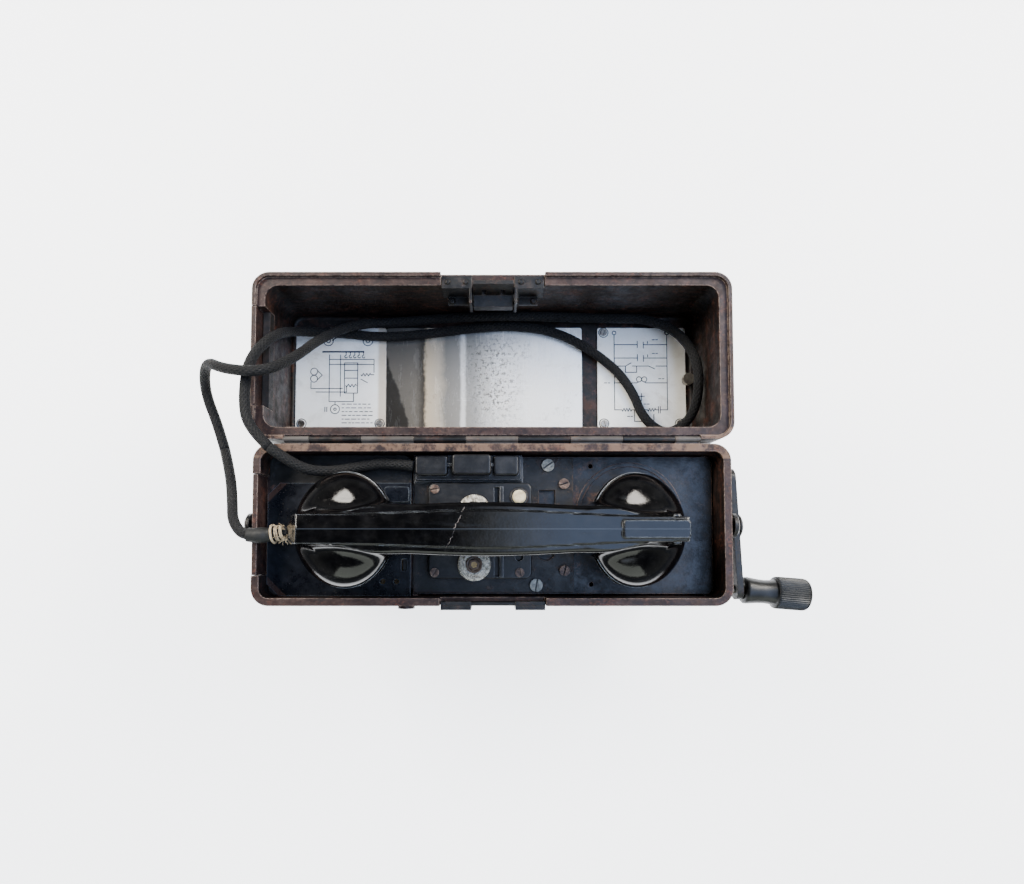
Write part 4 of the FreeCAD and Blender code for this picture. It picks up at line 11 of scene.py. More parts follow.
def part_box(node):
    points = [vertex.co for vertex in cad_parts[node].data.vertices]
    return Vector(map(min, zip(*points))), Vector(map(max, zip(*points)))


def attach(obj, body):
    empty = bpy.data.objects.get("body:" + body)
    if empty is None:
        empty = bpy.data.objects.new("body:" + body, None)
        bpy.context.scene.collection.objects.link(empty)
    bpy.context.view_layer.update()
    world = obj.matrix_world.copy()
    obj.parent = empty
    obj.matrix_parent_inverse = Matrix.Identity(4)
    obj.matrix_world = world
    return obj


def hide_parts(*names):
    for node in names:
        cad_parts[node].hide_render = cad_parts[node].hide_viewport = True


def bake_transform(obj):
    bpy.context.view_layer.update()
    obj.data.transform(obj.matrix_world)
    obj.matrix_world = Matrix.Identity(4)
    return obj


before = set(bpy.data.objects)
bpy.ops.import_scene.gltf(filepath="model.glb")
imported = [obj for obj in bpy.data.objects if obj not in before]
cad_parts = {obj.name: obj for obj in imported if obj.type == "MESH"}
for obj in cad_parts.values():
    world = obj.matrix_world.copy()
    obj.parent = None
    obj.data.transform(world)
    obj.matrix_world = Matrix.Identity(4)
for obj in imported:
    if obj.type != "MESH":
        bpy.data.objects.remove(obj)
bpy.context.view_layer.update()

MM = 0.001


def mm(*values):
    """A point in metres from millimetres."""
    return Vector(values) * MM


def linked(name, data):
    thing = bpy.data.objects.new(name, data)
    bpy.context.scene.collection.objects.link(thing)
    return thing


# Camera, at the photograph's angle
CAMERA_TILT = math.radians(2.6)
FOCAL_PIXELS = 616
FRAME_PIXELS = (1024, 884)
MIDDLE_PIXEL = (492.2, 512)


def add_camera():
    lens = bpy.data.cameras.new("camera")
    lens.sensor_fit = "HORIZONTAL"
    lens.sensor_width = 36
    lens.lens = FOCAL_PIXELS / FRAME_PIXELS[0] * lens.sensor_width
    lens.shift_x = (FRAME_PIXELS[0] / 2 - MIDDLE_PIXEL[0]) / FRAME_PIXELS[0]
    lens.shift_y = (MIDDLE_PIXEL[1] - FRAME_PIXELS[1] / 2) / FRAME_PIXELS[0]
    lens.clip_start = 0.01
    camera = linked("camera", lens)
    camera.location = (0.0001, -0.0089, 0.5023)
    camera.rotation_euler = (CAMERA_TILT, 0, 0)
    bpy.context.scene.camera = camera


add_camera()


# Node graphs for the materials
class Graph:
    """The nodes of a material or of the world, built one call at a time."""

    def __init__(self, name, world=None):
        self.owner = world or bpy.data.materials.new(name)
        self.owner.use_nodes = True
        self.tree = self.owner.node_tree
        self.tree.nodes.clear()
        self.place = self.add("ShaderNodeTexCoord").outputs["Generated" if world else "Object"]

    def add(self, kind, **settings):
        node = self.tree.nodes.new(kind)
        for key, value in settings.items():
            setattr(node, key, value)
        return node

    def feed(self, socket, value):
        if value is None:
            return
        if isinstance(value, bpy.types.NodeSocket):
            self.tree.links.new(value, socket)
        elif isinstance(value, (tuple, list)) and socket.type == "RGBA" and len(value) == 3:
            socket.default_value = (*value, 1)
        else:
            socket.default_value = value

    def fed(self, kind, inputs, **settings):
        """A node whose inputs, by name or number, get a value or another node's output."""
        node = self.add(kind, **settings)
        for key, value in inputs.items():
            self.feed(node.inputs[key], value)
        return node

    def stretched(self, scale, turn=(0, 0, 0)):
        """The piece's own coordinates, scaled and then turned, for streaks."""
        inputs = {"Vector": self.place, "Scale": scale, "Rotation": turn}
        return self.fed("ShaderNodeMapping", inputs).outputs[0]

    def noise(self, scale, detail=6, rough=0.6, warp=0, vector=None):
        inputs = {"Vector": vector or self.place, "Scale": scale, "Detail": detail}
        inputs.update({"Roughness": rough, "Distortion": warp})
        return self.fed("ShaderNodeTexNoise", inputs).outputs[0]

    def dots(self, scale, low, high):
        """Small round dots, one to a cell."""
        texture = self.fed("ShaderNodeTexVoronoi", {"Vector": self.place, "Scale": scale})
        return self.ramp(texture.outputs["Distance"], low, high)

    def math(self, operation, a, b=None, clamp=False):
        settings = {"operation": operation, "use_clamp": clamp}
        return self.fed("ShaderNodeMath", {0: a, 1: b}, **settings).outputs[0]

    def line(self, distance, inner, outer):
        """1 within a line's width on both sides of where a distance is zero."""
        return self.ramp(self.math("ABSOLUTE", distance), inner, outer, 1, 0)

    def ramp(self, factor, low, high, start=0, end=1):
        """Takes low..high of a factor to start..end, smoothly."""
        inputs = {"Value": factor, "From Min": low, "From Max": high, "To Min": start, "To Max": end}
        return self.fed("ShaderNodeMapRange", inputs, interpolation_type="SMOOTHSTEP").outputs[0]

    def mix(self, factor, a, b):
        return self.fed("ShaderNodeMix", {0: factor, 6: a, 7: b}, data_type="RGBA").outputs[2]

    def colours(self, factor, *stops):
        """A colour ramp from (place, colour) stops."""
        node = self.fed("ShaderNodeValToRGB", {0: factor})
        elements = node.color_ramp.elements
        while len(elements) < len(stops):
            elements.new(0.5)
        for element, (place, colour) in zip(elements, stops):
            element.position = place
            element.color = (*colour, 1)
        return node.outputs[0]

    def axis(self, name, vector=None):
        return self.fed("ShaderNodeSeparateXYZ", {0: vector or self.place}).outputs[name]

    def sum(self, *values):
        return reduce(lambda a, b: self.math("ADD", a, b), values)

    def product(self, *values):
        return reduce(lambda a, b: self.math("MULTIPLY", a, b), values)

    def surface_normal(self):
        return self.add("ShaderNodeNewGeometry").outputs["Normal"]

    def edges(self, radius, low=0.02, high=0.25):
        """1 along sharp edges, worked out from how a rounded edge would turn."""
        normals = {0: self.rounding(radius), 1: self.surface_normal()}
        dot = self.fed("ShaderNodeVectorMath", normals, operation="DOT_PRODUCT")
        return self.ramp(self.math("SUBTRACT", 1, dot.outputs["Value"]), low, high)

    def crevice_shade_and_grime(self, reach=0.0012):
        """1 in slots and corners, from ambient occlusion: where shade is painted, along with the dirt that
        gathers there.
        """
        node = self.fed("ShaderNodeAmbientOcclusion", {"Distance": reach}, samples=6)
        return self.ramp(node.outputs["AO"], 0.35, 0.75, 1, 0)

    def rounding(self, radius):
        return self.fed("ShaderNodeBevel", {"Radius": radius}, samples=6).outputs[0]

    def bump(self, height, distance, strength, normal=None):
        inputs = {"Height": height, "Distance": distance, "Strength": strength, "Normal": normal}
        return self.fed("ShaderNodeBump", inputs).outputs[0]

    def near(self, x=None, y=None, z=None, soft=0.002):
        """1 inside a box given by (low, high) spans in metres, falling off softly."""
        found = None
        for name, span in (("X", x), ("Y", y), ("Z", z)):
            if span is None:
                continue
            value = self.axis(name)
            inside = self.product(
                self.ramp(value, span[0] - soft, span[0] + soft),
                self.ramp(value, span[1] - soft, span[1] + soft, 1, 0),
            )
            found = inside if found is None else self.product(found, inside)
        return found

    def finish(self, colour, rough, normal=None, metal=0, **extra):
        inputs = {"Base Color": colour, "Roughness": rough, "Metallic": metal, "Normal": normal}
        inputs.update({key.replace("_", " "): value for key, value in extra.items()})
        shader = self.fed("ShaderNodeBsdfPrincipled", inputs)
        self.fed("ShaderNodeOutputMaterial", {"Surface": shader.outputs[0]})
        return self.owner


def dusty(g, colour, amount, tint, scale=60):
    """Dust that lies on what faces up."""
    cover = g.product(
        g.ramp(g.axis("Z", g.surface_normal()), 0.3, 0.95),
        g.ramp(g.noise(scale, 8, 0.7), 0.42, 0.72, 0, amount),
    )
    return g.mix(cover, colour, tint)


def moulded_case(name, inside):
    """Reddish-brown mottled moulding, worn tan along its edges and near black, with dark streaks, inside."""
    g = Graph(name)
    mottle = g.noise(75, 9, 0.72, 0.5)
    fine = g.noise(620, 6, 0.7)
    grain = g.noise(1500, 3, 0.6)
    base = g.colours(
        g.sum(g.product(mottle, 0.7), g.product(fine, 0.3)),
        (0.36, (0.010, 0.005, 0.005)),
        (0.46, (0.018, 0.009, 0.008)),
        (0.53, (0.032, 0.016, 0.013)),
        (0.62, (0.052, 0.031, 0.025)),
    )
    base = g.mix(g.ramp(fine, 0.55, 0.68, 0, 0.45), base, (0.084, 0.054, 0.038))
    soot = g.product(g.ramp(g.noise(160, 8, 0.75), 0.54, 0.64), 0.75)
    base = g.mix(soot, base, (0.012, 0.007, 0.007))
    streaks = g.noise(70, 8, 0.75, 0, g.stretched((1, 1, 5)))
    hollow = g.near(*inside, soft=0.0006)
    dark = g.colours(
        streaks,
        (0.36, (0.0010, 0.0008, 0.0008)),
        (0.50, (0.0048, 0.0030, 0.0025)),
        (0.60, (0.0320, 0.0135, 0.0090)),
    )
    base = g.mix(hollow, base, dark)
    rusty = g.product(g.ramp(g.noise(85, 9, 0.78, 0.5), 0.53, 0.62), g.ramp(fine, 0.42, 0.58))
    base = g.mix(g.product(rusty, 0.5), base, (0.135, 0.050, 0.030))
    patchy = g.sum(g.product(g.noise(210, 6, 0.75), 0.6), g.product(fine, 0.4))
    rubbed = g.product(g.edges(0.0012), g.ramp(patchy, 0.40, 0.56))
    base = g.mix(g.product(rubbed, 0.9), base, (0.36, 0.27, 0.22))
    hinge_side = g.product(
        g.near(None, (0.038, 0.056), (0.1485, 0.152), 0.0006),
        g.ramp(g.noise(110, 7, 0.75), 0.42, 0.56),
    )
    base = g.mix(g.product(hinge_side, 0.55), base, (0.23, 0.140, 0.090))
    chips = g.product(g.dots(330, 0.09, 0.03), g.ramp(g.noise(60, 4), 0.46, 0.6))
    base = g.mix(g.product(chips, 0.55), base, (0.30, 0.21, 0.16))
    base = dusty(g, base, 0.10, (0.10, 0.076, 0.062))
    rough = g.ramp(g.noise(140, 7, 0.7), 0.3, 0.7, 0.34, 0.66)
    height = g.sum(
        g.product(fine, 0.5),
        g.product(grain, 0.2),
        g.product(mottle, 0.6),
        g.product(chips, -0.6),
    )
    normal = g.bump(height, 0.0003, 0.8, g.rounding(0.0008))
    return g.finish(base, rough, normal, Specular_IOR_Level=0.3)


def handle_highlight_and_crack(g, colour, height):
    """A painted highlight, a faint light line along the handle's ridge, and the crack across it."""
    top = (0.172, 0.19)
    ridge_highlight = g.product(
        g.line(g.sum(g.axis("Y"), 0.0032), 0.00018, 0.00042),
        g.near(None, None, top, 0.0004),
    )
    # The ridge line is a painted highlight.
    colour = g.mix(g.product(ridge_highlight, 0.85), colour, (0.022, 0.026, 0.032))
    from_crack = g.sum(
        g.axis("X"),
        g.product(g.axis("Y"), -0.44),
        g.product(g.sum(g.noise(180, 5, 0.7), -0.5), 0.006),
        0.0178,
    )
    crack = g.product(
        g.line(from_crack, 0.00005, 0.00026),
        g.near(None, (-0.0145, 0.0085), (0.170, 0.2), 0.0004),
        g.ramp(g.noise(420, 4), 0.40, 0.55),
    )
    colour = g.mix(crack, colour, (0.12, 0.10, 0.09))
    return colour, g.sum(height, g.product(crack, -3))


def black_moulding(name, gloss, worn, wear, dust, base, crease=(0.02, 0.25), handle=False):
    """Black moulding, from glossy to satin, with greyed edges, fine scratches and dust; on the handset,
    whose low crease finds its soft ridge and shoulders, the greyed edges are partly a painted highlight.
    """
    g = Graph(name)
    cloud = g.noise(90, 8, 0.7)
    colour = g.mix(g.ramp(cloud, 0.45, 0.72), base, tuple(2.2 * c + 0.0012 for c in base))
    # Greyed edges: wear, and on the handset also a painted highlight along the ridge and shoulder lines.
    rubbed = g.product(g.edges(0.0008, *crease), g.ramp(g.noise(260, 7, 0.75), 0.30, 0.55))
    colour = g.mix(g.product(rubbed, wear), colour, worn)
    specks = g.product(g.dots(1100, 0.16, 0.05), g.ramp(g.noise(120, 5, 0.7), 0.50, 0.66))
    colour = g.mix(g.product(specks, dust, 3), colour, (0.32, 0.30, 0.26))
    colour = dusty(g, colour, dust, (0.10, 0.095, 0.09), 150)
    streaks = g.stretched((0.12, 1, 1), (0, 0, 0.35))
    scratches = g.ramp(g.noise(340, 3, 0.6, 0, streaks), 0.58, 0.64)
    rough = g.sum(
        g.ramp(g.noise(110, 8, 0.75), 0.35, 0.7, gloss, gloss + 0.10),
        g.product(scratches, 0.08),
        g.product(specks, 0.3),
    )
    height = g.sum(g.noise(800, 4), g.product(g.noise(45, 3), 1.4))
    if handle:
        colour, height = handle_highlight_and_crack(g, colour, height)
    else:
        # Slots and corners darkened: painted shade, along with dirt.
        colour = g.mix(g.product(g.crevice_shade_and_grime(), 0.8), colour, (0.0008, 0.0008, 0.0008))
    normal = g.bump(height, 0.00005, 0.6, g.rounding(0.0005))
    return g.finish(colour, rough, normal, Specular_IOR_Level=0.36)


def painted_metal(name, paint, worn, rust, rust_amount=0.5, painted_shadow_y=None):
    """Dark paint or blackening with worn edges, brown rust and dust, and a painted shadow: plain black over
    a span of y.
    """
    g = Graph(name)
    cloud = g.noise(60, 9, 0.72, 0.3)
    fine = g.noise(700, 5, 0.7)
    colour = g.mix(g.ramp(cloud, 0.4, 0.7), paint, tuple(1.8 * c + 0.003 for c in paint))
    rusty = g.product(
        g.ramp(g.noise(95, 9, 0.75, 0.5), 0.52, 0.64, 0, rust_amount),
        g.ramp(fine, 0.35, 0.6),
    )
    colour = g.mix(rusty, colour, rust)
    specks = g.product(g.dots(800, 0.16, 0.05), g.ramp(g.noise(130, 4), 0.50, 0.64))
    colour = g.mix(g.product(specks, 0.4), colour, tuple(0.7 * c for c in worn))
    rubbed = g.product(g.edges(0.0008), g.ramp(g.noise(280, 6, 0.75), 0.34, 0.6))
    colour = g.mix(g.product(rubbed, 0.75), colour, worn)
    colour = dusty(g, colour, 0.10, (0.10, 0.085, 0.07), 120)
    # A painted shadow: black over the given span of y, standing in for deep shade.
    if painted_shadow_y:
        colour = g.mix(g.near(None, painted_shadow_y, None, 0.0006), colour, (0.0003, 0.0003, 0.0003))
    # Slots and corners darkened: painted shade, along with dirt.
    colour = g.mix(g.product(g.crevice_shade_and_grime(), 0.7), colour, (0.0010, 0.0009, 0.0008))
    gloss = g.ramp(g.noise(150, 7, 0.7), 0.3, 0.7, 0.3, 0.55)
    height = g.sum(fine, rusty, g.product(cloud, 0.8))
    normal = g.bump(height, 0.00013, 0.7, g.rounding(0.0005))
    return g.finish(colour, gloss, normal, g.product(rubbed, 0.6), Specular_IOR_Level=0.36)


def bare_metal(name, clean, tarnish, rough=(0.25, 0.5)):
    """Bare or plated metal with tarnish, dark spots and a brushed grain."""
    g = Graph(name)
    cloud = g.ramp(g.noise(140, 8, 0.7, 0.4), 0.38, 0.66)
    colour = g.mix(cloud, clean, tarnish)
    spot = g.product(g.ramp(g.noise(460, 6, 0.7), 0.54, 0.66), 0.4)
    colour = g.mix(spot, colour, tuple(0.22 * c for c in tarnish))
    grain = g.noise(900, 3, 0.6, 0, g.stretched((1, 0.06, 1)))
    gloss = g.sum(g.ramp(g.noise(180, 6), 0.3, 0.7, *rough), g.product(spot, 0.3))
    metal = g.math("SUBTRACT", 0.9, g.product(spot, 0.6))
    return g.finish(colour, gloss, g.bump(grain, 0.00005, 0.5, g.rounding(0.0004)), metal)


def panel_screw_metal(name, zinc_places):
    """Brownish screws with slots darkened by painted shade and dirt, and the few that were replaced by
    zinc-grey ones.
    """
    g = Graph(name)
    cloud = g.noise(420, 8, 0.72, 0.4)
    brown = g.colours(
        cloud,
        (0.36, (0.030, 0.016, 0.011)),
        (0.50, (0.10, 0.062, 0.045)),
        (0.66, (0.25, 0.17, 0.125)),
    )
    grey = g.colours(
        cloud,
        (0.36, (0.10, 0.095, 0.08)),
        (0.50, (0.24, 0.235, 0.20)),
        (0.66, (0.42, 0.41, 0.36)),
    )
    reach = 0.006
    share = g.sum(
        *(g.near((x - reach, x + reach), (y - reach, y + reach), None) for x, y in zinc_places)
    )
    colour = g.mix(share, brown, grey)
    rubbed = g.product(g.edges(0.0005), g.ramp(cloud, 0.35, 0.6))
    colour = g.mix(g.product(rubbed, 0.55), colour, (0.42, 0.36, 0.30))
    # Slots darkened: painted shade, along with dirt.
    colour = g.mix(g.crevice_shade_and_grime(0.0016), colour, (0.0010, 0.0009, 0.0008))
    rough = g.ramp(cloud, 0.3, 0.7, 0.34, 0.62)
    height = g.sum(cloud, g.noise(1500, 3))
    return g.finish(colour, rough, g.bump(height, 0.0001, 0.7, g.rounding(0.0003)), 0.35)


def cover_lacquer(name, left, front, back):
    """Blue-black lacquer of the battery cover, worn to brown at the chamfered corners of its left edge."""
    g = Graph(name)
    cloud = g.noise(70, 9, 0.72)
    fine = g.noise(900, 5, 0.7)
    colour = g.mix(g.ramp(cloud, 0.42, 0.68), (0.0014, 0.0020, 0.0040), (0.0060, 0.0076, 0.0125))
    grit = g.product(g.dots(700, 0.18, 0.05), g.ramp(g.noise(100, 5, 0.7), 0.46, 0.6))
    colour = g.mix(g.product(grit, 0.5), colour, (0.11, 0.09, 0.075))
    inset = g.sum(g.axis("X"), -left)
    chamfer_size = 0.0124
    for edge in (front, back):
        from_corner = g.sum(inset, g.math("ABSOLUTE", g.sum(g.axis("Y"), -edge)))
        ragged = g.sum(from_corner, g.product(fine, 0.0012))
        chamfer = g.ramp(ragged, chamfer_size - 0.0006, chamfer_size, 1, 0)
        colour = g.mix(chamfer, colour, (0.030, 0.017, 0.014))
        border = g.line(g.sum(from_corner, -chamfer_size - 0.0002), 0.0002, 0.0006)
        colour = g.mix(g.product(border, 0.5), colour, (0.0008, 0.0008, 0.0010))
    rubbed = g.product(g.edges(0.0008), g.ramp(g.noise(300, 6, 0.75), 0.30, 0.52))
    colour = g.mix(g.product(rubbed, 0.75), colour, (0.15, 0.17, 0.19))
    rough = g.sum(g.ramp(cloud, 0.3, 0.7, 0.22, 0.42), g.product(grit, 0.2))
    height = g.sum(g.product(fine, 0.4), g.product(grit, 0.8), cloud)
    normal = g.bump(height, 0.00014, 0.8, g.rounding(0.0004))
    return g.finish(colour, rough, normal, Specular_IOR_Level=0.3)


def lacquered_panel(name):
    """Blue-black lacquer, worn brown in patches, with pits and dents of grit."""
    g = Graph(name)
    cloud = g.noise(48, 9, 0.72, 0.4)
    fine = g.noise(800, 5, 0.7)
    colour = g.colours(
        cloud,
        (0.34, (0.0016, 0.0022, 0.0042)),
        (0.50, (0.0042, 0.0056, 0.0098)),
        (0.66, (0.0110, 0.0125, 0.0185)),
    )
    beside_plate = g.near((0.030, 0.072), (-0.05, 0.05), None, soft=0.018)
    brown = g.product(
        g.ramp(g.noise(75, 9, 0.75, 0.6), 0.50, 0.62),
        g.ramp(fine, 0.38, 0.6),
        g.sum(0.18, g.product(beside_plate, 0.7)),
    )
    colour = g.mix(brown, colour, (0.070, 0.036, 0.024))
    grit = g.product(g.dots(640, 0.18, 0.05), g.ramp(g.noise(80, 5, 0.7), 0.47, 0.6))
    colour = g.mix(g.product(grit, 0.55), colour, (0.15, 0.125, 0.10))
    rubbed = g.product(g.edges(0.0009, 0.008, 0.12), g.ramp(g.noise(170, 6, 0.75), 0.36, 0.56))
    colour = g.mix(g.product(rubbed, 0.7), colour, (0.15, 0.085, 0.055))
    # Slots and corners darkened: painted shade, along with dirt.
    colour = g.mix(g.product(g.crevice_shade_and_grime(), 0.8), colour, (0.0010, 0.0010, 0.0012))
    patches = g.ramp(g.noise(130, 9, 0.78, 0.3), 0.36, 0.64)
    rough = g.sum(g.ramp(patches, 0, 1, 0.30, 0.54), g.product(grit, 0.2))
    height = g.sum(g.noise(340, 7, 0.75), g.product(grit, 0.8), g.product(cloud, 1.5))
    normal = g.bump(height, 0.0002, 0.8, g.rounding(0.0004))
    return g.finish(colour, rough, normal, Specular_IOR_Level=0.42)


def printed_plate(name):
    """White metal plate, a little stained, with dirt in its corners and along its edges."""
    g = Graph(name)
    cloud = g.noise(60, 8, 0.7, 0.3)
    colour = g.colours(
        cloud,
        (0.34, (0.80, 0.78, 0.72)),
        (0.50, (0.96, 0.945, 0.89)),
        (0.66, (0.98, 0.975, 0.93)),
    )
    stains = g.ramp(g.noise(30, 8, 0.75, 0.5), 0.58, 0.70, 0, 0.35)
    colour = g.mix(stains, colour, (0.44, 0.38, 0.27))
    beside_mirror = g.near((-0.0755, -0.0700), None, None, soft=0.0012)
    colour = g.mix(g.product(beside_mirror, 0.7), colour, (0.48, 0.37, 0.24))
    specks = g.product(g.dots(900, 0.17, 0.06), g.ramp(g.noise(140, 4), 0.52, 0.62))
    colour = g.mix(g.product(specks, 0.6), colour, (0.10, 0.09, 0.08))
    rim = g.product(g.edges(0.0016, 0.01, 0.2), g.ramp(g.noise(240, 5, 0.7), 0.34, 0.56))
    colour = g.mix(g.product(rim, 0.6), colour, (0.20, 0.15, 0.10))
    rough = g.ramp(g.noise(90, 5), 0.3, 0.7, 0.35, 0.6)
    return g.finish(colour, rough, g.bump(g.noise(300, 5), 0.00006, 0.5), 0.05)


def mirror_plate(name):
    """Plated sheet with corrosion specks; its colour is a painted reflection, dark at one end and bright at
    the other.
    """
    g = Graph(name)
    x, y = g.axis("X"), g.axis("Y")
    wander = g.product(g.sum(g.noise(60, 6, 0.7), -0.5), 0.010)
    # Painted reflection: the colour along x runs from dark to bright as a reflection would.
    colour = g.colours(
        g.ramp(g.sum(x, wander), -0.072, 0.062),
        (0.000, (0.120, 0.110, 0.095)),
        (0.066, (0.140, 0.128, 0.110)),
        (0.100, (0.052, 0.045, 0.036)),
        (0.116, (0.560, 0.460, 0.330)),
        (0.180, (0.500, 0.440, 0.350)),
        (0.230, (0.230, 0.220, 0.200)),
        (0.430, (0.340, 0.335, 0.320)),
        (0.620, (0.820, 0.810, 0.780)),
        (0.800, (0.970, 0.960, 0.920)),
    )
    wedge = g.ramp(g.sum(x, g.product(y, 0.322), wander), -0.0343, -0.0323, 1, 0)
    colour = g.mix(g.product(wedge, 0.85), colour, (0.014, 0.013, 0.012))
    # A painted reflection: a bright streak across the sheet.
    streak = g.line(g.sum(x, g.product(wander, 0.4), 0.0193), 0.0006, 0.0028)
    colour = g.mix(g.product(streak, 0.75), colour, (0.92, 0.92, 0.90))
    scuffs = g.ramp(g.noise(150, 9, 0.78, 0, g.stretched((1, 0.2, 1))), 0.47, 0.62)
    # The scuffs lighten only toward the bright end, as part of the painted reflection.
    bright_end = g.ramp(x, -0.014, 0.012)
    colour = g.mix(g.product(scuffs, bright_end, 0.45), colour, (0.90, 0.90, 0.89))
    near_middle = g.near((-0.012, 0.016), (0.072, 0.125), None, soft=0.010)
    field = g.math("ADD", g.ramp(g.noise(55, 6, 0.7), 0.52, 0.62, 0, 0.35), near_middle, clamp=True)
    pits = g.product(g.ramp(g.noise(430, 8, 0.78), 0.515, 0.555), field)
    pits = g.math("ADD", pits, g.product(g.dots(420, 0.15, 0.06), field, 0.8), clamp=True)
    colour = g.mix(g.product(pits, 0.9), colour, (0.030, 0.026, 0.020))
    lines = g.ramp(g.noise(220, 2, 0.5, 0, g.stretched((0.05, 1, 1), (0, 0, 0.12))), 0.60, 0.63)
    rough = g.sum(g.ramp(scuffs, 0, 1, 0.20, 0.36), g.product(lines, 0.12))
    metal = g.math("SUBTRACT", 0.22, g.product(pits, 0.2))
    height = g.sum(g.product(g.noise(26, 3), 2), lines, g.product(pits, -1))
    return g.finish(colour, rough, g.bump(height, 0.00005, 0.6), metal)


def nut_metal(name):
    """Terminal discs whitened by corrosion over dull plating."""
    g = Graph(name)
    crust = g.ramp(g.noise(620, 8, 0.75, 0.5), 0.38, 0.58)
    colour = g.mix(crust, (0.16, 0.13, 0.09), (0.80, 0.77, 0.68))
    colour = g.mix(g.ramp(g.noise(260, 7, 0.7), 0.52, 0.66, 0, 0.55), colour, (0.17, 0.115, 0.07))
    # Grooves and hollows darkened: painted shade, along with dirt.
    colour = g.mix(g.product(g.crevice_shade_and_grime(), 0.7), colour, (0.02, 0.015, 0.01))
    normal = g.bump(g.sum(crust, g.noise(1400, 4)), 0.00014, 0.8, g.rounding(0.0002))
    return g.finish(colour, g.ramp(crust, 0, 1, 0.35, 0.75), normal, 0.08)


def ivory_button(name):
    g = Graph(name)
    colour = g.mix(g.ramp(g.noise(260, 6), 0.4, 0.7), (0.72, 0.64, 0.44), (0.48, 0.38, 0.22))
    colour = g.mix(g.product(g.edges(0.0008), 0.5), colour, (0.36, 0.27, 0.15))
    rough = g.ramp(g.noise(300, 4), 0.3, 0.7, 0.25, 0.5)
    return g.finish(colour, rough, g.bump(g.noise(500, 4), 0.00005, 0.5, g.rounding(0.0006)))


def plain_detail(name, low, high, rough, scale):
    """A simple mottled finish, for rubber, card, ink and the like."""
    g = Graph(name)
    colour = g.mix(g.ramp(g.noise(scale, 6), 0.35, 0.7), low, high)
    gloss = g.ramp(g.noise(scale * 2, 4), 0.3, 0.7, rough - 0.12, rough + 0.12)
    return g.finish(colour, gloss, g.bump(g.noise(scale * 4, 4), 0.0001, 0.6, g.rounding(0.0004)))


def wound_wire(name):
    g = Graph(name)
    turns = g.math("SINE", g.product(g.axis("X"), 9000))
    colour = g.mix(g.ramp(turns, -1, 1), (0.10, 0.035, 0.015), (0.50, 0.22, 0.09))
    rough = g.ramp(g.noise(200, 4), 0.3, 0.7, 0.25, 0.45)
    return g.finish(colour, rough, g.bump(turns, 0.0001, 0.7), 0.7)


def braided_cord(name):
    """Near-black braid: fine crossed strands, greyed in lengthwise streaks where it is rubbed."""
    g = Graph(name)
    along = g.add("ShaderNodeAttribute", attribute_name="along").outputs["Fac"]
    around = g.add("ShaderNodeAttribute", attribute_name="around").outputs["Fac"]
    lines = g.product(along, 2 * math.pi / 0.0030)
    turns = g.product(around, 2 * math.pi * 9)
    one_way = g.math("SINE", g.sum(turns, lines))
    other_way = g.math("SINE", g.math("SUBTRACT", turns, lines))
    weave = g.math("MAXIMUM", one_way, other_way)
    fuzz = g.noise(2600, 4, 0.7)
    cloud = g.noise(70, 8, 0.7)
    colour = g.mix(g.ramp(weave, -0.2, 1), (0.0008, 0.0008, 0.0009), (0.0042, 0.0043, 0.0047))
    colour = g.mix(g.ramp(cloud, 0.48, 0.66, 0, 0.45), colour, (0.0105, 0.0103, 0.0100))
    colour = g.mix(g.ramp(fuzz, 0.60, 0.76, 0, 0.3), colour, (0.028, 0.027, 0.025))
    rough = g.ramp(cloud, 0.3, 0.7, 0.55, 0.8)
    normal = g.bump(g.sum(weave, g.product(fuzz, 1.1)), 0.00022, 0.9)
    return g.finish(colour, rough, normal, Specular_IOR_Level=0.3, Sheen_Weight=0.02)


def thread_wrap(name):
    g = Graph(name)
    colour = g.mix(g.ramp(g.noise(400, 6), 0.35, 0.7), (0.50, 0.40, 0.26), (0.22, 0.16, 0.10))
    return g.finish(colour, 0.8, g.bump(g.noise(1500, 4), 0.0002, 0.8))


ZINC_SCREWS = ((0.0334, 0.0357), (0.0262, -0.0357))

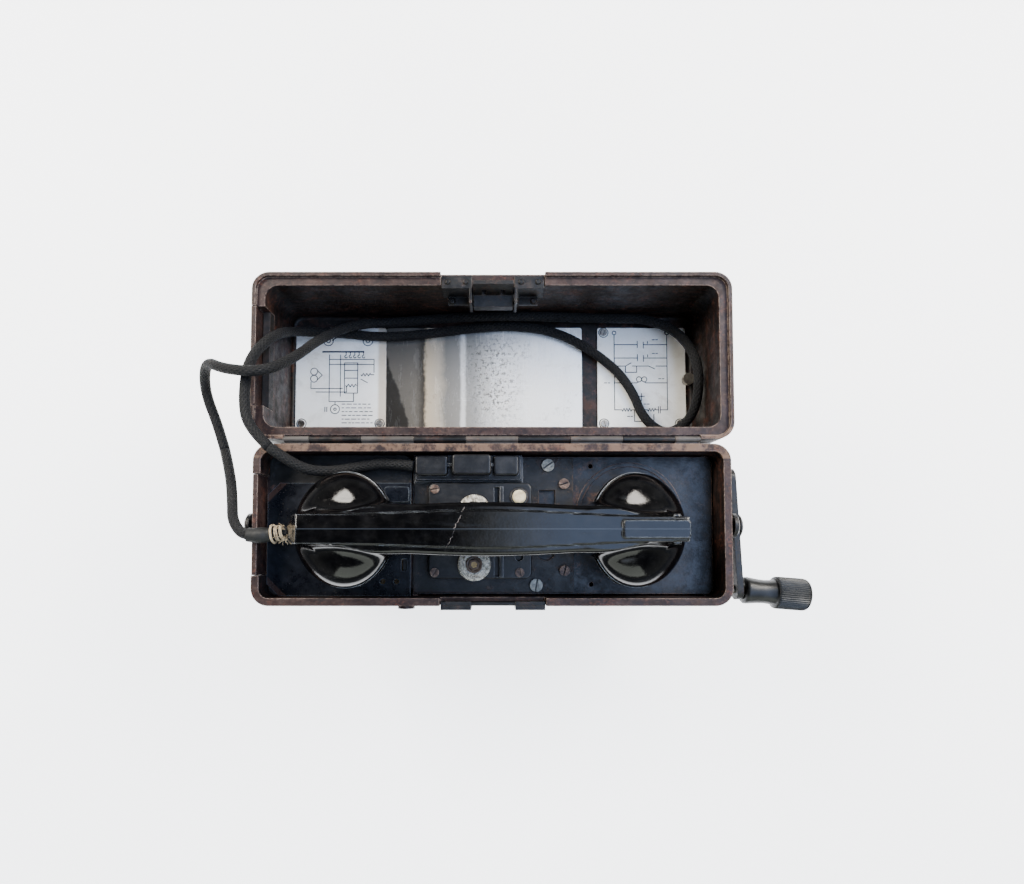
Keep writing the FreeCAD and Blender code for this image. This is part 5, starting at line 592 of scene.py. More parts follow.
LOOKS = {
    "case": moulded_case("look_case", ((-0.1334, 0.1334), (-0.0423, 0.0423), (0, 0.1496))),
    "lid": moulded_case("look_lid", ((-0.1331, 0.1331), (0.0564, 0.1405), (0.09, 0.1473))),
    "gloss": black_moulding(
        "look_handset",
        gloss=0.06,
        # The worn grey and the low crease give light lines along the handle's ridge and shoulders: partly
        # wear, partly painted highlight.
        worn=(0.26, 0.28, 0.30),
        wear=0.7,
        dust=0.04,
        base=(0.0014, 0.0014, 0.0017),
        crease=(0.004, 0.024),
        handle=True,
    ),
    "satin": black_moulding(
        "look_satin",
        gloss=0.28,
        worn=(0.30, 0.31, 0.33),
        wear=0.7,
        dust=0.12,
        base=(0.0064, 0.0066, 0.0076),
    ),
    "knob": black_moulding(
        "look_knob",
        gloss=0.34,
        worn=(0.07, 0.075, 0.075),
        wear=0.5,
        dust=0.10,
        base=(0.0022, 0.0024, 0.0024),
    ),
    "cover": cover_lacquer("look_cover", left=-0.1328, front=-0.0418, back=0.0249),
    "tray": painted_metal(
        "look_tray",
        paint=(0.0030, 0.0024, 0.0022),
        worn=(0.13, 0.075, 0.055),
        rust=(0.055, 0.026, 0.018),
        rust_amount=0.9,
        # The flange behind the cover is painted black: a painted shadow.
        painted_shadow_y=(0.0265, 0.06),
    ),
    "panel": lacquered_panel("look_panel"),
    "board": painted_metal(
        "look_board",
        paint=(0.0036, 0.0032, 0.0030),
        worn=(0.11, 0.065, 0.042),
        rust=(0.045, 0.024, 0.016),
        rust_amount=0.75,
    ),
    "black_metal": painted_metal(
        "look_black_metal",
        paint=(0.0020, 0.0020, 0.0022),
        worn=(0.12, 0.105, 0.09),
        rust=(0.06, 0.026, 0.016),
    ),
    "stud": painted_metal(
        "look_stud",
        paint=(0.050, 0.032, 0.020),
        worn=(0.20, 0.14, 0.09),
        rust=(0.09, 0.045, 0.025),
        rust_amount=0.6,
    ),
    "hinge_grey": painted_metal(
        "look_hinge_grey",
        paint=(0.046, 0.041, 0.036),
        worn=(0.24, 0.21, 0.18),
        rust=(0.12, 0.055, 0.03),
        rust_amount=0.6,
    ),
    "steel": bare_metal("look_steel", (0.34, 0.32, 0.29), (0.11, 0.09, 0.07)),
    "zinc": bare_metal("look_zinc", (0.46, 0.45, 0.41), (0.20, 0.18, 0.14), (0.35, 0.6)),
    "screws": panel_screw_metal("look_screws", ZINC_SCREWS),
    "brass": bare_metal("look_brass", (0.40, 0.29, 0.14), (0.12, 0.078, 0.040)),
    "nut": nut_metal("look_nut"),
    "plate": printed_plate("look_plate"),
    "mirror": mirror_plate("look_mirror"),
    "ivory": ivory_button("look_ivory"),
    "rubber": plain_detail("look_rubber", (0.0022, 0.0025, 0.0022), (0.0085, 0.0088, 0.0078), 0.7, 260),
    "seal": plain_detail("look_seal", (0.0022, 0.0020, 0.0019), (0.016, 0.010, 0.008), 0.6, 320),
    "card": plain_detail("look_card", (0.42, 0.30, 0.16), (0.22, 0.15, 0.08), 0.7, 140),
    "winding": wound_wire("look_winding"),
    "cord": braided_cord("look_cord"),
    "thread": thread_wrap("look_thread"),
    "ink": plain_detail("look_ink", (0.006, 0.009, 0.018), (0.022, 0.028, 0.042), 0.6, 900),
}

NODE_LOOKS = {
    "case": ["base_case", "base_side_flap"],
    "lid": ["lid_shell", "lid_side_flap"],
    "gloss": ["handset_body", "ear_cap", "mouth_cap"],
    "satin": ["terminal_block", "socket_strip", "plug_body", "talk_key"],
    "cover": ["battery_cover"],
    "tray": ["battery_tray"],
    "knob": ["crank_knob"],
    "panel": ["chassis_panel"],
    "board": ["middle_plate"],
    "black_metal": [
        "hinge_leaf_lid", "latch_keeper", "latch_bracket", "latch_lever", "latch_rivets",
        "latch_pin", "magnets", "crank_arm", "crank_shaft", "hub_nut", "strap_studs",
    ],
    "hinge_grey": ["hinge_leaf_base", "hinge_pin"],
    "steel": [
        "generator_frame", "crank_bearing", "ringer_frame", "knob_pin", "key_pin",
        "receiver_capsule", "transmitter_capsule", "armature", "gongs", "plate_fasteners",
    ],
    "screws": ["panel_screws"],
    "zinc": ["capacitor"],
    "brass": ["terminal_studs", "plug_pins", "drive_gear", "bell_hammer"],
    "nut": ["terminal_nut_back", "terminal_nut_front"],
    "plate": ["diagram_plate_left", "diagram_plate_right"],
    "mirror": ["polished_plate"],
    "ivory": ["test_button"],
    "rubber": ["cord_sleeve"],
    "seal": ["lid_flap_seal"],
    "card": ["battery"],
    "winding": ["induction_coil", "ringer_coils"],
    "thread": ["cord_collar"],
    "cord": ["cord_handset_end", "cord_lid_loop", "cord_plug_end"],
}


def wear(thing, look):
    thing.data.materials.clear()
    thing.data.materials.append(LOOKS[look])
    return thing


for look, names in NODE_LOOKS.items():
    for name in names:
        wear(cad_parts[name], look)


# The cord: one braided lead, in the three lengths that the model has
CORD_RADIUS = 0.003
CORD_HANDSET_END = [
    (-113.6, -4.0, 153.2),
    (-137.5, -8.5, 154.6),
    (-148.2, 0.5, 150.5),
    (-151.5, 14.0, 143.5),
    (-156.5, 30.0, 134.8),
    (-162.5, 45.5, 129.3),
]
CORD_LID_LOOP = [
    (-162.5, 45.5, 129.3),
    (-168.0, 60.0, 126.0),
    (-175.5, 82.0, 130.0),
    (-167.0, 95.5, 148.0),
    (-150.0, 86.5, 162.0),
    (-127.0, 84.5, 163.5),
    (-116.0, 99.0, 143.0),
    (-109.5, 117.5, 119.0),
    (-91.0, 131.5, 107.0),
    (-60.0, 134.5, 102.2),
    (-26.0, 136.6, 105.0),
    (8.0, 136.8, 107.6),
    (42.0, 136.9, 105.0),
    (75.0, 136.8, 102.4),
    (103.0, 136.4, 104.0),
    (123.5, 124.0, 109.0),
    (129.3, 98.0, 125.0),
    (128.8, 70.0, 115.5),
    (115.2, 58.8, 103.2),
    (99.5, 69.5, 101.2),
    (91.5, 91.0, 101.2),
    (77.0, 108.0, 101.2),
    (47.0, 127.4, 101.2),
    (16.0, 132.6, 101.2),
    (-16.0, 130.6, 101.2),
    (-46.0, 126.4, 101.2),
    (-74.0, 124.6, 101.2),
    (-100.0, 127.6, 101.2),
    (-129.0, 126.0, 110.0),
    (-129.4, 113.0, 142.0),
    (-139.0, 95.0, 155.0),
    (-141.5, 72.0, 155.4),
    (-138.0, 54.5, 157.0),
    (-126.0, 43.6, 156.4),
]
CORD_PLUG_END = [
    (-126.0, 43.6, 156.4),
    (-110.8, 31.8, 152.0),
    (-95.8, 30.8, 142.6),
    (-79.0, 34.2, 140.4),
    (-62.5, 36.8, 141.2),
    (-46.2, 34.4, 143.2),
]


def spline_points(name, points):
    """The smooth line of a route, read from its own spline."""
    curve = bpy.data.curves.new(name, "CURVE")
    curve.dimensions = "3D"
    curve.resolution_u = 14
    spline = curve.splines.new("NURBS")
    spline.points.add(len(points) - 1)
    for point, place in zip(spline.points, points):
        point.co = (*mm(*place), 1)
    spline.order_u = 3
    spline.use_endpoint_u = True
    thing = linked(name, curve)
    bpy.context.view_layer.update()
    line = bpy.data.meshes.new_from_object(thing.evaluated_get(bpy.context.evaluated_depsgraph_get()))
    found = [vertex.co.copy() for vertex in line.vertices]
    bpy.data.objects.remove(thing)
    bpy.data.meshes.remove(line)
    return found


def tube(name, path, radius, sides=24):
    """A closed tube along a line, whose points know how far along and around they are."""
    ring_sets = []
    side = None
    travelled = 0
    alongs = []
    for i, point in enumerate(path):
        ahead = path[min(i + 1, len(path) - 1)] - path[max(i - 1, 0)]
        ahead.normalize()
        if side is None:
            side = ahead.cross(Vector((0, 0, 1))).normalized()
        side = (side - ahead * side.dot(ahead)).normalized()
        up = ahead.cross(side)
        if i:
            travelled += (point - path[i - 1]).length
        alongs.append(travelled)
        ring_sets.append(
            [
                point + (side * math.cos(a) + up * math.sin(a)) * radius
                for a in (2 * math.pi * k / sides for k in range(sides))
            ]
        )
    vertices = [v for ring in ring_sets for v in ring]
    faces = []
    for i in range(len(path) - 1):
        for k in range(sides):
            following = (k + 1) % sides
            faces.append(
                (i * sides + k, i * sides + following, (i + 1) * sides + following, (i + 1) * sides + k)
            )
    faces.append(tuple(reversed(range(sides))))
    faces.append(tuple(range((len(path) - 1) * sides, len(path) * sides)))
    mesh = bpy.data.meshes.new(name)
    mesh.from_pydata([tuple(v) for v in vertices], [], faces)
    mesh.polygons.foreach_set("use_smooth", [True] * len(mesh.polygons))
    along = mesh.attributes.new("along", "FLOAT", "POINT")
    around = mesh.attributes.new("around", "FLOAT", "POINT")
    along.data.foreach_set("value", [alongs[i // sides] for i in range(len(vertices))])
    around.data.foreach_set("value", [(i % sides) / sides for i in range(len(vertices))])
    return linked(name, mesh)


def add_cord(name, node, points, bodies, start, end, **facts):
    path = spline_points(name, points)
    cord = wear(tube(name, path, CORD_RADIUS), "cord")
    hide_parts(node)
    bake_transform(cord)


add_cord(
    "handset_lead",
    "cord_handset_end",
    CORD_HANDSET_END,
    ("handset", "base"),
    (-138, -8, 154),
    (-160, 42, 131),
)
add_cord("lid_lead", "cord_lid_loop", CORD_LID_LOOP, ("base", "lid"), (0, 46, 150), (0, 62, 150))
add_cord(
    "plug_lead",
    "cord_plug_end",
    CORD_PLUG_END,
    ("base", "plug"),
    (-120, 40, 150),
    (-52, 35, 143),
)


# Smooth solids from a distance field, sampled on a grid
def smooth_union(a, b, reach):
    h = np.clip(0.5 + 0.5 * (b - a) / reach, 0, 1)
    return b + (a - b) * h - reach * h * (1 - h)


def smooth_step(share):
    share = np.clip(share, 0, 1)
    return share * share * (3 - 2 * share)


def mesh_from_field(name, field, low, high, step):
    """The surface where a field in millimetres changes sign, as one quad mesh of smooth faces."""
    axes = [np.arange(a, b + step, step) for a, b in zip(low, high)]
    values = field(*np.meshgrid(*axes, indexing="ij"))
    inside = values < 0
    cells = tuple(n - 1 for n in inside.shape)
    total = np.zeros((*cells, 3))
    count = np.zeros(cells)
    for axis in range(3):
        here = [slice(None)] * 3
        there = [slice(None)] * 3
        here[axis] = slice(None, -1)
        there[axis] = slice(1, None)
        a, b = values[tuple(here)], values[tuple(there)]
        crossing = inside[tuple(here)] != inside[tuple(there)]
        part = np.where(crossing, a / np.where(crossing, a - b, 1), 0)
        others = [k for k in range(3) if k != axis]
        for u in (0, 1):
            for v in (0, 1):
                pick = [slice(None)] * 3
                pick[others[0]] = slice(u, u + cells[others[0]])
                pick[others[1]] = slice(v, v + cells[others[1]])
                hit = crossing[tuple(pick)]
                count += hit
                total[..., axis] += part[tuple(pick)]
                total[..., others[0]] += hit * u
                total[..., others[1]] += hit * v
    used = count > 0
    index = np.full(cells, -1)
    index[used] = np.arange(used.sum())
    corner = np.stack(np.nonzero(used), axis=1)
    points = np.array(low) + (corner + total[used] / count[used][:, None]) * step
    for _ in range(3):
        points = pull_to_surface(field, points, step)
    faces = []
    for axis in range(3):
        others = [k for k in range(3) if k != axis]
        here = [slice(1, -1)] * 3
        there = [slice(1, -1)] * 3
        here[axis] = slice(None, -1)
        there[axis] = slice(1, None)
        first, second = inside[tuple(here)], inside[tuple(there)]
        where = np.stack(np.nonzero(first != second), axis=1)
        shift = np.array([1 if k != axis else 0 for k in range(3)])
        where = where + shift
        steps = np.zeros((4, 3), int)
        steps[1, others[0]] = steps[2, others[0]] = -1
        steps[2, others[1]] = steps[3, others[1]] = -1
        quad = np.stack([index[tuple((where + s).T)] for s in steps], axis=1)
        outward = inside[tuple(where.T)]
        if axis == 1:
            outward = ~outward
        faces.append(np.where(outward[:, None], quad, quad[:, ::-1]))
    faces = np.concatenate(faces)[:, ::-1]
    mesh = bpy.data.meshes.new(name)
    mesh.from_pydata((points * MM).tolist(), [], faces.tolist())
    mesh.polygons.foreach_set("use_smooth", [True] * len(mesh.polygons))
    return mesh


def pull_to_surface(field, points, step):
    """Move points along the field's slope, so that edges stay crisp."""
    x, y, z = points.T
    value = field(x, y, z)
    small = step * 0.1
    slope = np.stack(
        [
            (field(x + small, y, z) - field(x - small, y, z)) / (2 * small),
            (field(x, y + small, z) - field(x, y - small, z)) / (2 * small),
            (field(x, y, z + small) - field(x, y, z - small)) / (2 * small),
        ],
        axis=1,
    )
    size = np.maximum((slope**2).sum(axis=1), 0.05)
    return points - np.clip(value / size, -step, step)[:, None] * slope * 0.8


# The handset's body in its own frame, in millimetres: two domed cups under a faceted handle
RIDGE_HEIGHT = 48.5
ROOF_DROP = 0.27
HANDLE_HALF = 7.0
HANDLE_TAPER = 0.006
HANDLE_SWELL = 2.9
SWELL_REACH = 52
RIGHT_END = 103.0
LEFT_END = 101.6
LEFT_END_SLOPE = 0.42
LEDGE_DROP = 0.8
LEDGE_RISE = 3.4
LEDGE_WIDTH = (0.3, 4.1)
UNDER_SLOPE = 0.55
BELLY_HEIGHT = 27.5
BELLY_DROP = 5
CAP_OFFSET = 77.7
CAP_TILT = math.radians(26.5)
CAP_FACE = 28
CAP_RADIUS = 32.8
CAP_DEPTH = 10
DOME_RADIUS = 31.9
DOME_HEIGHT = 16.6
DOME_BLEND = 8
PAD_MIDDLE = 85.2
PAD_HALF = (17.6, 4.75)
PAD_CORNER = 1.6
PAD_RISE = 0.9
EAR_MIDDLE = 97
EAR_HALF = 1.9
EAR_REACH = 1.7
KEY_SLOT_HALF = (31.3, 5.3)
KEY_SLOT_TOP = 33.6
HANDSET_PLACE = Matrix.Translation(mm(-0.8, -3.2, 136.35)) @ Matrix.Rotation(math.radians(1.366), 4, "Y")


def cups_field(x, y, z):
    """The two domes, and the rims of the two caps that they leave room for."""
    domes = []
    rims = []
    for way in (-1, 1):
        ax, az = way * math.sin(CAP_TILT), math.cos(CAP_TILT)
        px, pz = x - way * CAP_OFFSET, z - CAP_FACE * math.sin(CAP_TILT)
        depth = px * ax + pz * az
        radius = np.sqrt((px - depth * ax) ** 2 + y**2 + (pz - depth * az) ** 2)
        up = np.maximum(depth - CAP_DEPTH, 0)
        dome = ((radius / DOME_RADIUS) ** 2.5 + (up / DOME_HEIGHT) ** 2.1) ** (1 / 2.3)
        domes.append(np.maximum((dome - 1) * 17, CAP_DEPTH - depth))
        rims.append(np.maximum(radius - CAP_RADIUS, depth - CAP_DEPTH))
    return np.minimum(*domes), np.minimum(*rims)


def handset_field(x, y, z):
    across = np.abs(y)
    along = np.abs(x)
    half = HANDLE_HALF - HANDLE_TAPER * x + HANDLE_SWELL * np.exp(-((x / SWELL_REACH) ** 2))
    shoulder = RIDGE_HEIGHT - ROOF_DROP * half
    roof = z - RIDGE_HEIGHT + ROOF_DROP * np.maximum(across - 0.25, 0)
    roof = roof / math.hypot(1, ROOF_DROP)
    end = np.where(x > 0, x - RIGHT_END, along - (LEFT_END + LEFT_END_SLOPE * (47 - z)))
    upper = np.maximum.reduce([roof, across - half, 33 - z, end])

    belly = BELLY_HEIGHT - BELLY_DROP * np.clip((along - 55) / 30, 0, 1)
    ledge_top = shoulder - LEDGE_DROP
    waist = LEDGE_WIDTH[0] + LEDGE_WIDTH[1] * smooth_step((82 - along) / 34)
    ledge = np.hypot(
        np.maximum(across - half, 0) / waist,
        np.maximum(z - (ledge_top - LEDGE_RISE), 0) / LEDGE_RISE,
    )
    ledge = (ledge - 1) * np.minimum(waist, LEDGE_RISE) * 0.8
    side = np.maximum(ledge, across - half - waist)
    under = (across - half - waist + (35 - z) * UNDER_SLOPE) / math.hypot(1, UNDER_SLOPE)
    lower = np.maximum.reduce([z - ledge_top, side, under, belly - z, end])

    domes, rims = cups_field(x, y, z)
    lower = np.maximum(smooth_union(lower, domes, DOME_BLEND), z - ledge_top)

    pad_x = np.maximum(np.abs(x - PAD_MIDDLE) - PAD_HALF[0] + PAD_CORNER, 0)
    pad_y = np.maximum(across - PAD_HALF[1] + PAD_CORNER, 0)
    pad_side = np.hypot(pad_x, pad_y) - PAD_CORNER
    pad = np.maximum.reduce([pad_side, z - RIDGE_HEIGHT - PAD_RISE, 40 - z])
    ear_end = np.abs(x - EAR_MIDDLE) - EAR_HALF
    ears = np.maximum.reduce([ear_end, across - half - EAR_REACH, z - shoulder + 0.5, 34 - z])
    body = np.minimum.reduce([upper, lower, pad, ears])
    slot = np.maximum.reduce(
        [along - KEY_SLOT_HALF[0], across - KEY_SLOT_HALF[1], z - KEY_SLOT_TOP]
    )
    return np.maximum(np.maximum(body, -rims), -slot)


def add_handset():
    mesh = mesh_from_field("handset_shell", handset_field, (-114, -36, 8), (114, 36, 52), 0.75)
    mesh.transform(HANDSET_PLACE)
    shell = wear(linked("handset_shell", mesh), "gloss")
    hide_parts("handset_body")
    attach(shell, "handset")


add_handset()


# Turned pieces
def turned(name, profile, place, flutes=0, depth=0.0, sides=240):
    """A solid of revolution from (radius, height) points in mm, about +Z before it is placed.

    A third value says how deeply the flutes cut there.
    """
    rings = []
    for radius, height, *cuts in profile:
        fluted = sum(cuts)
        ring = []
        for k in range(sides):
            angle = 2 * math.pi * k / sides
            cut = depth * (0.5 - 0.5 * math.cos(flutes * angle)) * fluted
            reach = radius - cut
            ring.append(place @ mm(reach * math.cos(angle), reach * math.sin(angle), height - cut * 0.4))
        rings.append(ring)
    faces = []
    for i in range(len(rings)):
        a, b = i * sides, (i + 1) % len(rings) * sides
        for k in range(sides):
            following = (k + 1) % sides
            faces.append((a + k, a + following, b + following, b + k))
    mesh = bpy.data.meshes.new(name)
    mesh.from_pydata([v for ring in rings for v in ring], [], faces)
    return linked(name, mesh)


def smooth_by_angle(thing, degrees=35):
    bm = bmesh.new()
    bm.from_mesh(thing.data)
    bmesh.ops.recalc_face_normals(bm, faces=bm.faces)
    for edge in bm.edges:
        edge.smooth = edge.is_manifold and edge.calc_face_angle(0) < math.radians(degrees)
    for face in bm.faces:
        face.smooth = True
    bm.to_mesh(thing.data)
    bm.free()
    return thing


TERMINAL_X = -10.2
TERMINAL_Y = {"back": 7.8, "front": -23.0}


def add_terminals():
    """Knurled discs, each held by a brown hexagon on its stud."""
    for side, y in TERMINAL_Y.items():
        place = Matrix.Translation(mm(TERMINAL_X, y, 0))
        nut = turned(
            "terminal_disc_" + side,
            [
                (4.1, 143.4),
                (8.7, 143.4),
                (9.6, 144.3, 1),
                (9.7, 146.5, 1),
                (9.6, 148.2, 1),
                (9.0, 148.9, 1.5),
                (7.6, 149.2, 2),
                (6.4, 149.25, 1.2),
                (5.7, 149.3),
                (5.2, 148.7),
                (4.1, 148.7),
            ],
            place,
            flutes=60,
            depth=0.42,
        )
        wear(smooth_by_angle(nut, 60), "nut")
        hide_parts("terminal_nut_" + side)
        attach(nut, side + "_nut")


def add_stud_caps():
    """A brown ring and hexagon over each terminal's stud."""
    for side, y in TERMINAL_Y.items():
        place = Matrix.Translation(mm(TERMINAL_X, y, 0))
        ring = turned(
            "stud_ring_" + side,
            [(3.3, 149.35), (4.7, 149.35), (4.75, 149.9), (4.3, 150.3), (3.8, 150.2), (3.3, 150.1)],
            place,
            sides=72,
        )
        smooth_by_angle(ring)
        hexagon = turned(
            "stud_hexagon",
            [
                (0.05, 149.5),
                (3.5, 149.5),
                (3.5, 150.9),
                (3.15, 151.15),
                (2.0, 151.15),
                (1.7, 150.8),
                (0.05, 150.8),
            ],
            place @ Matrix.Rotation(0.3, 4, "Z"),
            sides=6,
        )
        join([ring, hexagon], "stud_cap_" + side, smooth=False)
        wear(ring, "stud")
        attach(ring, "base")


def add_button_collar():
    """The dark ring that the ivory button slides in."""
    place = Matrix.Translation(mm(15.8, 16.2, 0))
    collar = turned(
        "button_collar",
        [(4.15, 142.9), (5.6, 142.9), (5.6, 143.4), (5.2, 143.8), (4.5, 143.8), (4.15, 143.5)],
        place,
        sides=64,
    )
    wear(smooth_by_angle(collar), "black_metal")
    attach(collar, "base")


KNOB_SEAT = (155.1, -40.5)
KNOB_SKEW = math.radians(4.5)
KNOB_SPAN = (5.6, 46.4)


def add_knob():
    """The crank's handle: a waisted barrel and a finely ribbed head, about its skewed axis."""
    low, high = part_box("crank_knob")
    start, end = KNOB_SPAN
    radius = (high[2] - low[2]) / 2 / MM
    length = end - start
    seat = Matrix.Translation(mm(*KNOB_SEAT, (low[2] + high[2]) / 2 / MM))
    place = seat @ Matrix.Rotation(-KNOB_SKEW, 4, "Z") @ Matrix.Rotation(math.radians(90), 4, "Y")
    profile = [
        (4.4, start),
        (radius * 0.74, start),
        (radius * 0.82, start + 0.8),
        (radius * 0.83, start + 2.5),
        (radius * 0.76, start + length * 0.20),
        (radius * 0.725, start + length * 0.32),
        (radius * 0.75, start + length * 0.42),
        (radius * 0.80, start + length * 0.475),
        (radius * 0.92, start + length * 0.485),
        (radius * 0.975, start + length * 0.50, 1),
        (radius, start + length * 0.53, 1),
        (radius, end - length * 0.075, 1),
        (radius * 0.975, end - length * 0.035, 1),
        (radius * 0.90, end - length * 0.008, 0.3),
        (radius * 0.80, end),
        (5.6, end - 0.2),
        (5.4, end - 1.6),
        (4.4, end - 1.6),
    ]
    knob = turned("crank_grip", profile, place, flutes=48, depth=0.55, sides=384)
    wear(smooth_by_angle(knob, 50), "knob")
    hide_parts("crank_knob")
    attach(knob, "knob")


# Distances along the lead from the handset, in mm
SLEEVE_SPAN = (10.8, 24.6)
SLEEVE_RADIUS = 4.5
WINDINGS = ((10.6, 1.0, 4.9), (8.6, 1.2, 4.0), (7.4, 1.0, 4.3), (5.8, 2.0, 3.9))
WINDING_PITCH = 0.9
FRAY_SPAN = (2.0, 5.5)
HAIRS = 22


def add_lead_entry():
    """Rubber sleeve, thread windings and frayed braid where the lead enters the handset."""
    path = spline_points("entry_line", CORD_HANDSET_END)
    reach = [0.0]
    for a, b in zip(path, path[1:]):
        reach.append(reach[-1] + (b - a).length)

    def at(distance):
        k = next(i for i, r in enumerate(reach) if r >= distance * MM)
        k = max(k, 1)
        share = (distance * MM - reach[k - 1]) / (reach[k] - reach[k - 1])
        return path[k - 1].lerp(path[k], share), (path[k] - path[k - 1]).normalized()

    def square_to(ahead):
        side = ahead.cross(Vector((0, 0, 1))).normalized()
        return side, side.cross(ahead)

    first, last = SLEEVE_SPAN
    middles = [at(first + (last - first) * i / 24)[0] for i in range(25)]
    sleeve = tube("lead_sleeve", middles, SLEEVE_RADIUS * MM, 40)
    centres = [at(first + 0.6 * i)[0] for i in range(24)]
    for vertex in sleeve.data.vertices:
        from_end = min((vertex.co - at(place)[0]).length for place in SLEEVE_SPAN)
        centre = min(centres, key=lambda p: (p - vertex.co).length)
        pinch = 1 - 0.12 * math.exp(-(((from_end - 0.0045) / 0.0012) ** 2))
        pinch += 0.03 * math.sin(vertex.co.x * 900)
        vertex.co = centre + (vertex.co - centre) * min(pinch, 1.0)
    wear(sleeve, "rubber")
    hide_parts("cord_sleeve")
    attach(sleeve, "handset")

    random.seed(7)
    pieces = []
    for first, turns, radius in WINDINGS:
        loop = []
        for i in range(int(36 * turns) + 1):
            angle = 2 * math.pi * i / 36
            centre, ahead = at(first - WINDING_PITCH * i / 36)
            side, up = square_to(ahead)
            loop.append(centre + (side * math.cos(angle) + up * math.sin(angle)) * radius * MM)
        pieces.append(tube("winding", loop, 0.0007 if radius > 4.5 else 0.00045, 10))
    for _ in range(HAIRS):
        centre, ahead = at(random.uniform(*FRAY_SPAN))
        angle = random.uniform(-0.9, 2.4)
        side, up = square_to(ahead)
        out = (side * -math.cos(angle) + up * math.sin(angle)).normalized()
        point = centre + out * 0.0028
        way = (out + ahead * random.uniform(-0.8, 0.6)).normalized()
        hair = [point]
        for _ in range(7):
            way = (way + Vector([random.uniform(-0.5, 0.5) for _ in range(3)])).normalized()
            point = point + way * random.uniform(0.0005, 0.0010)
            hair.append(point)
        pieces.append(tube("hair", hair, 0.00016, 6))
    join(pieces, "lead_windings")
    windings = wear(pieces[0], "thread")
    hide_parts("cord_collar")
    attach(windings, "handset")


def join(pieces, name, smooth=True):
    """Merges meshes into the first of them."""
    bm = bmesh.new()
    for piece in pieces:
        bm.from_mesh(piece.data)
    mesh = bpy.data.meshes.new(name)
    bm.to_mesh(mesh)
    bm.free()
    for piece in pieces[1:]:
        bpy.data.objects.remove(piece)
    pieces[0].data = mesh
    pieces[0].name = name
    if smooth:
        mesh.polygons.foreach_set("use_smooth", [True] * len(mesh.polygons))


add_terminals()
add_stud_caps()
add_button_collar()
add_knob()
add_lead_entry()


# Wiring diagrams on the two white plates, in mm right of and below each plate's upper left corner
def circle(u, v, radius, start=0, turn=360, steps=20):
    angles = [math.radians(start + turn * k / steps) for k in range(steps + 1)]
    return [(u + radius * math.cos(a), v - radius * math.sin(a)) for a in angles]


def zigzag(u, v, length, height, count):
    points = [(u, v)]
    for k in range(count):
        points.append((u + length * (k + 0.5) / count, v + height * (-1) ** k))
    return points + [(u + length, v)]


def left_diagram():
    lines = [circle(21.4, 8.8, 3.2), circle(47.6, 8.8, 3.2), circle(34.5, 20, 15.6, 48, 84)]
    lines += [circle(21.4, 8.8, 1.2), circle(47.6, 8.8, 1.2)]
    lines += [[(17.5, 15.8), (45.1, 15.8)], [(17.5, 16.4), (45.1, 16.4)]]
    for k in range(5):
        u = 33.2 + 2.9 * k
        lines.append([(u, 16.8), (u, 18.4)] + circle(u, 19.3, 0.9, 90, 250, 8))
    lines += [[(22.2, 18.2), (22.2, 49.5), (38.4, 49.5), (38.4, 43.8)], [(29.6, 18.2), (29.6, 46.0)]]
    lines += [[(22.2, 21.2), (51.8, 21.2), (51.8, 30)], [(22.2, 24.6), (51.8, 24.6)]]
    lines += [circle(12.1, 29.4, 2.3), circle(12.1, 34.2, 2.3), [(14.6, 29), (17.5, 31.8), (14.6, 34.6)]]
    lines += [[(10.1, 40.8), (31, 40.8)], [(13.5, 43.1), (33.7, 43.1), (33.7, 40)]]
    lines += [[(10.1, 36.5), (10.1, 40.8)]]
    lines += [[(32.3, 23.6), (41, 23.6), (41, 43.8), (32.3, 43.8), (32.3, 23.6)]]
    lines += [[(32.3, 28.6), (41, 28.6)], [(32.3, 33.8), (41, 33.8)], zigzag(33.2, 38.8, 7, 0.9, 6)]
    lines += [zigzag(43.2, 31.5, 6.6, 0.9, 6), [(49.8, 31.5), (51.8, 31.5)], [(43.2, 34.5), (47.5, 36.8)]]
    lines += [circle(26.2, 54.6, 3.0), circle(26.2, 54.6, 0.8), [(26.2, 49.5), (26.2, 51.6)]]
    lines += [[(19.5, 53.2), (19.5, 56.2)], [(20.8, 53.2), (20.8, 56.2)]]
    random.seed(11)
    for row in range(6):
        u = 30.8
        while u < 50:
            dash = random.uniform(1.0, 3.2)
            lines.append([(u, 51.2 + 2.5 * row), (min(u + dash, 51), 51.2 + 2.5 * row)])
            u += dash + random.uniform(0.9, 1.6)
    return lines


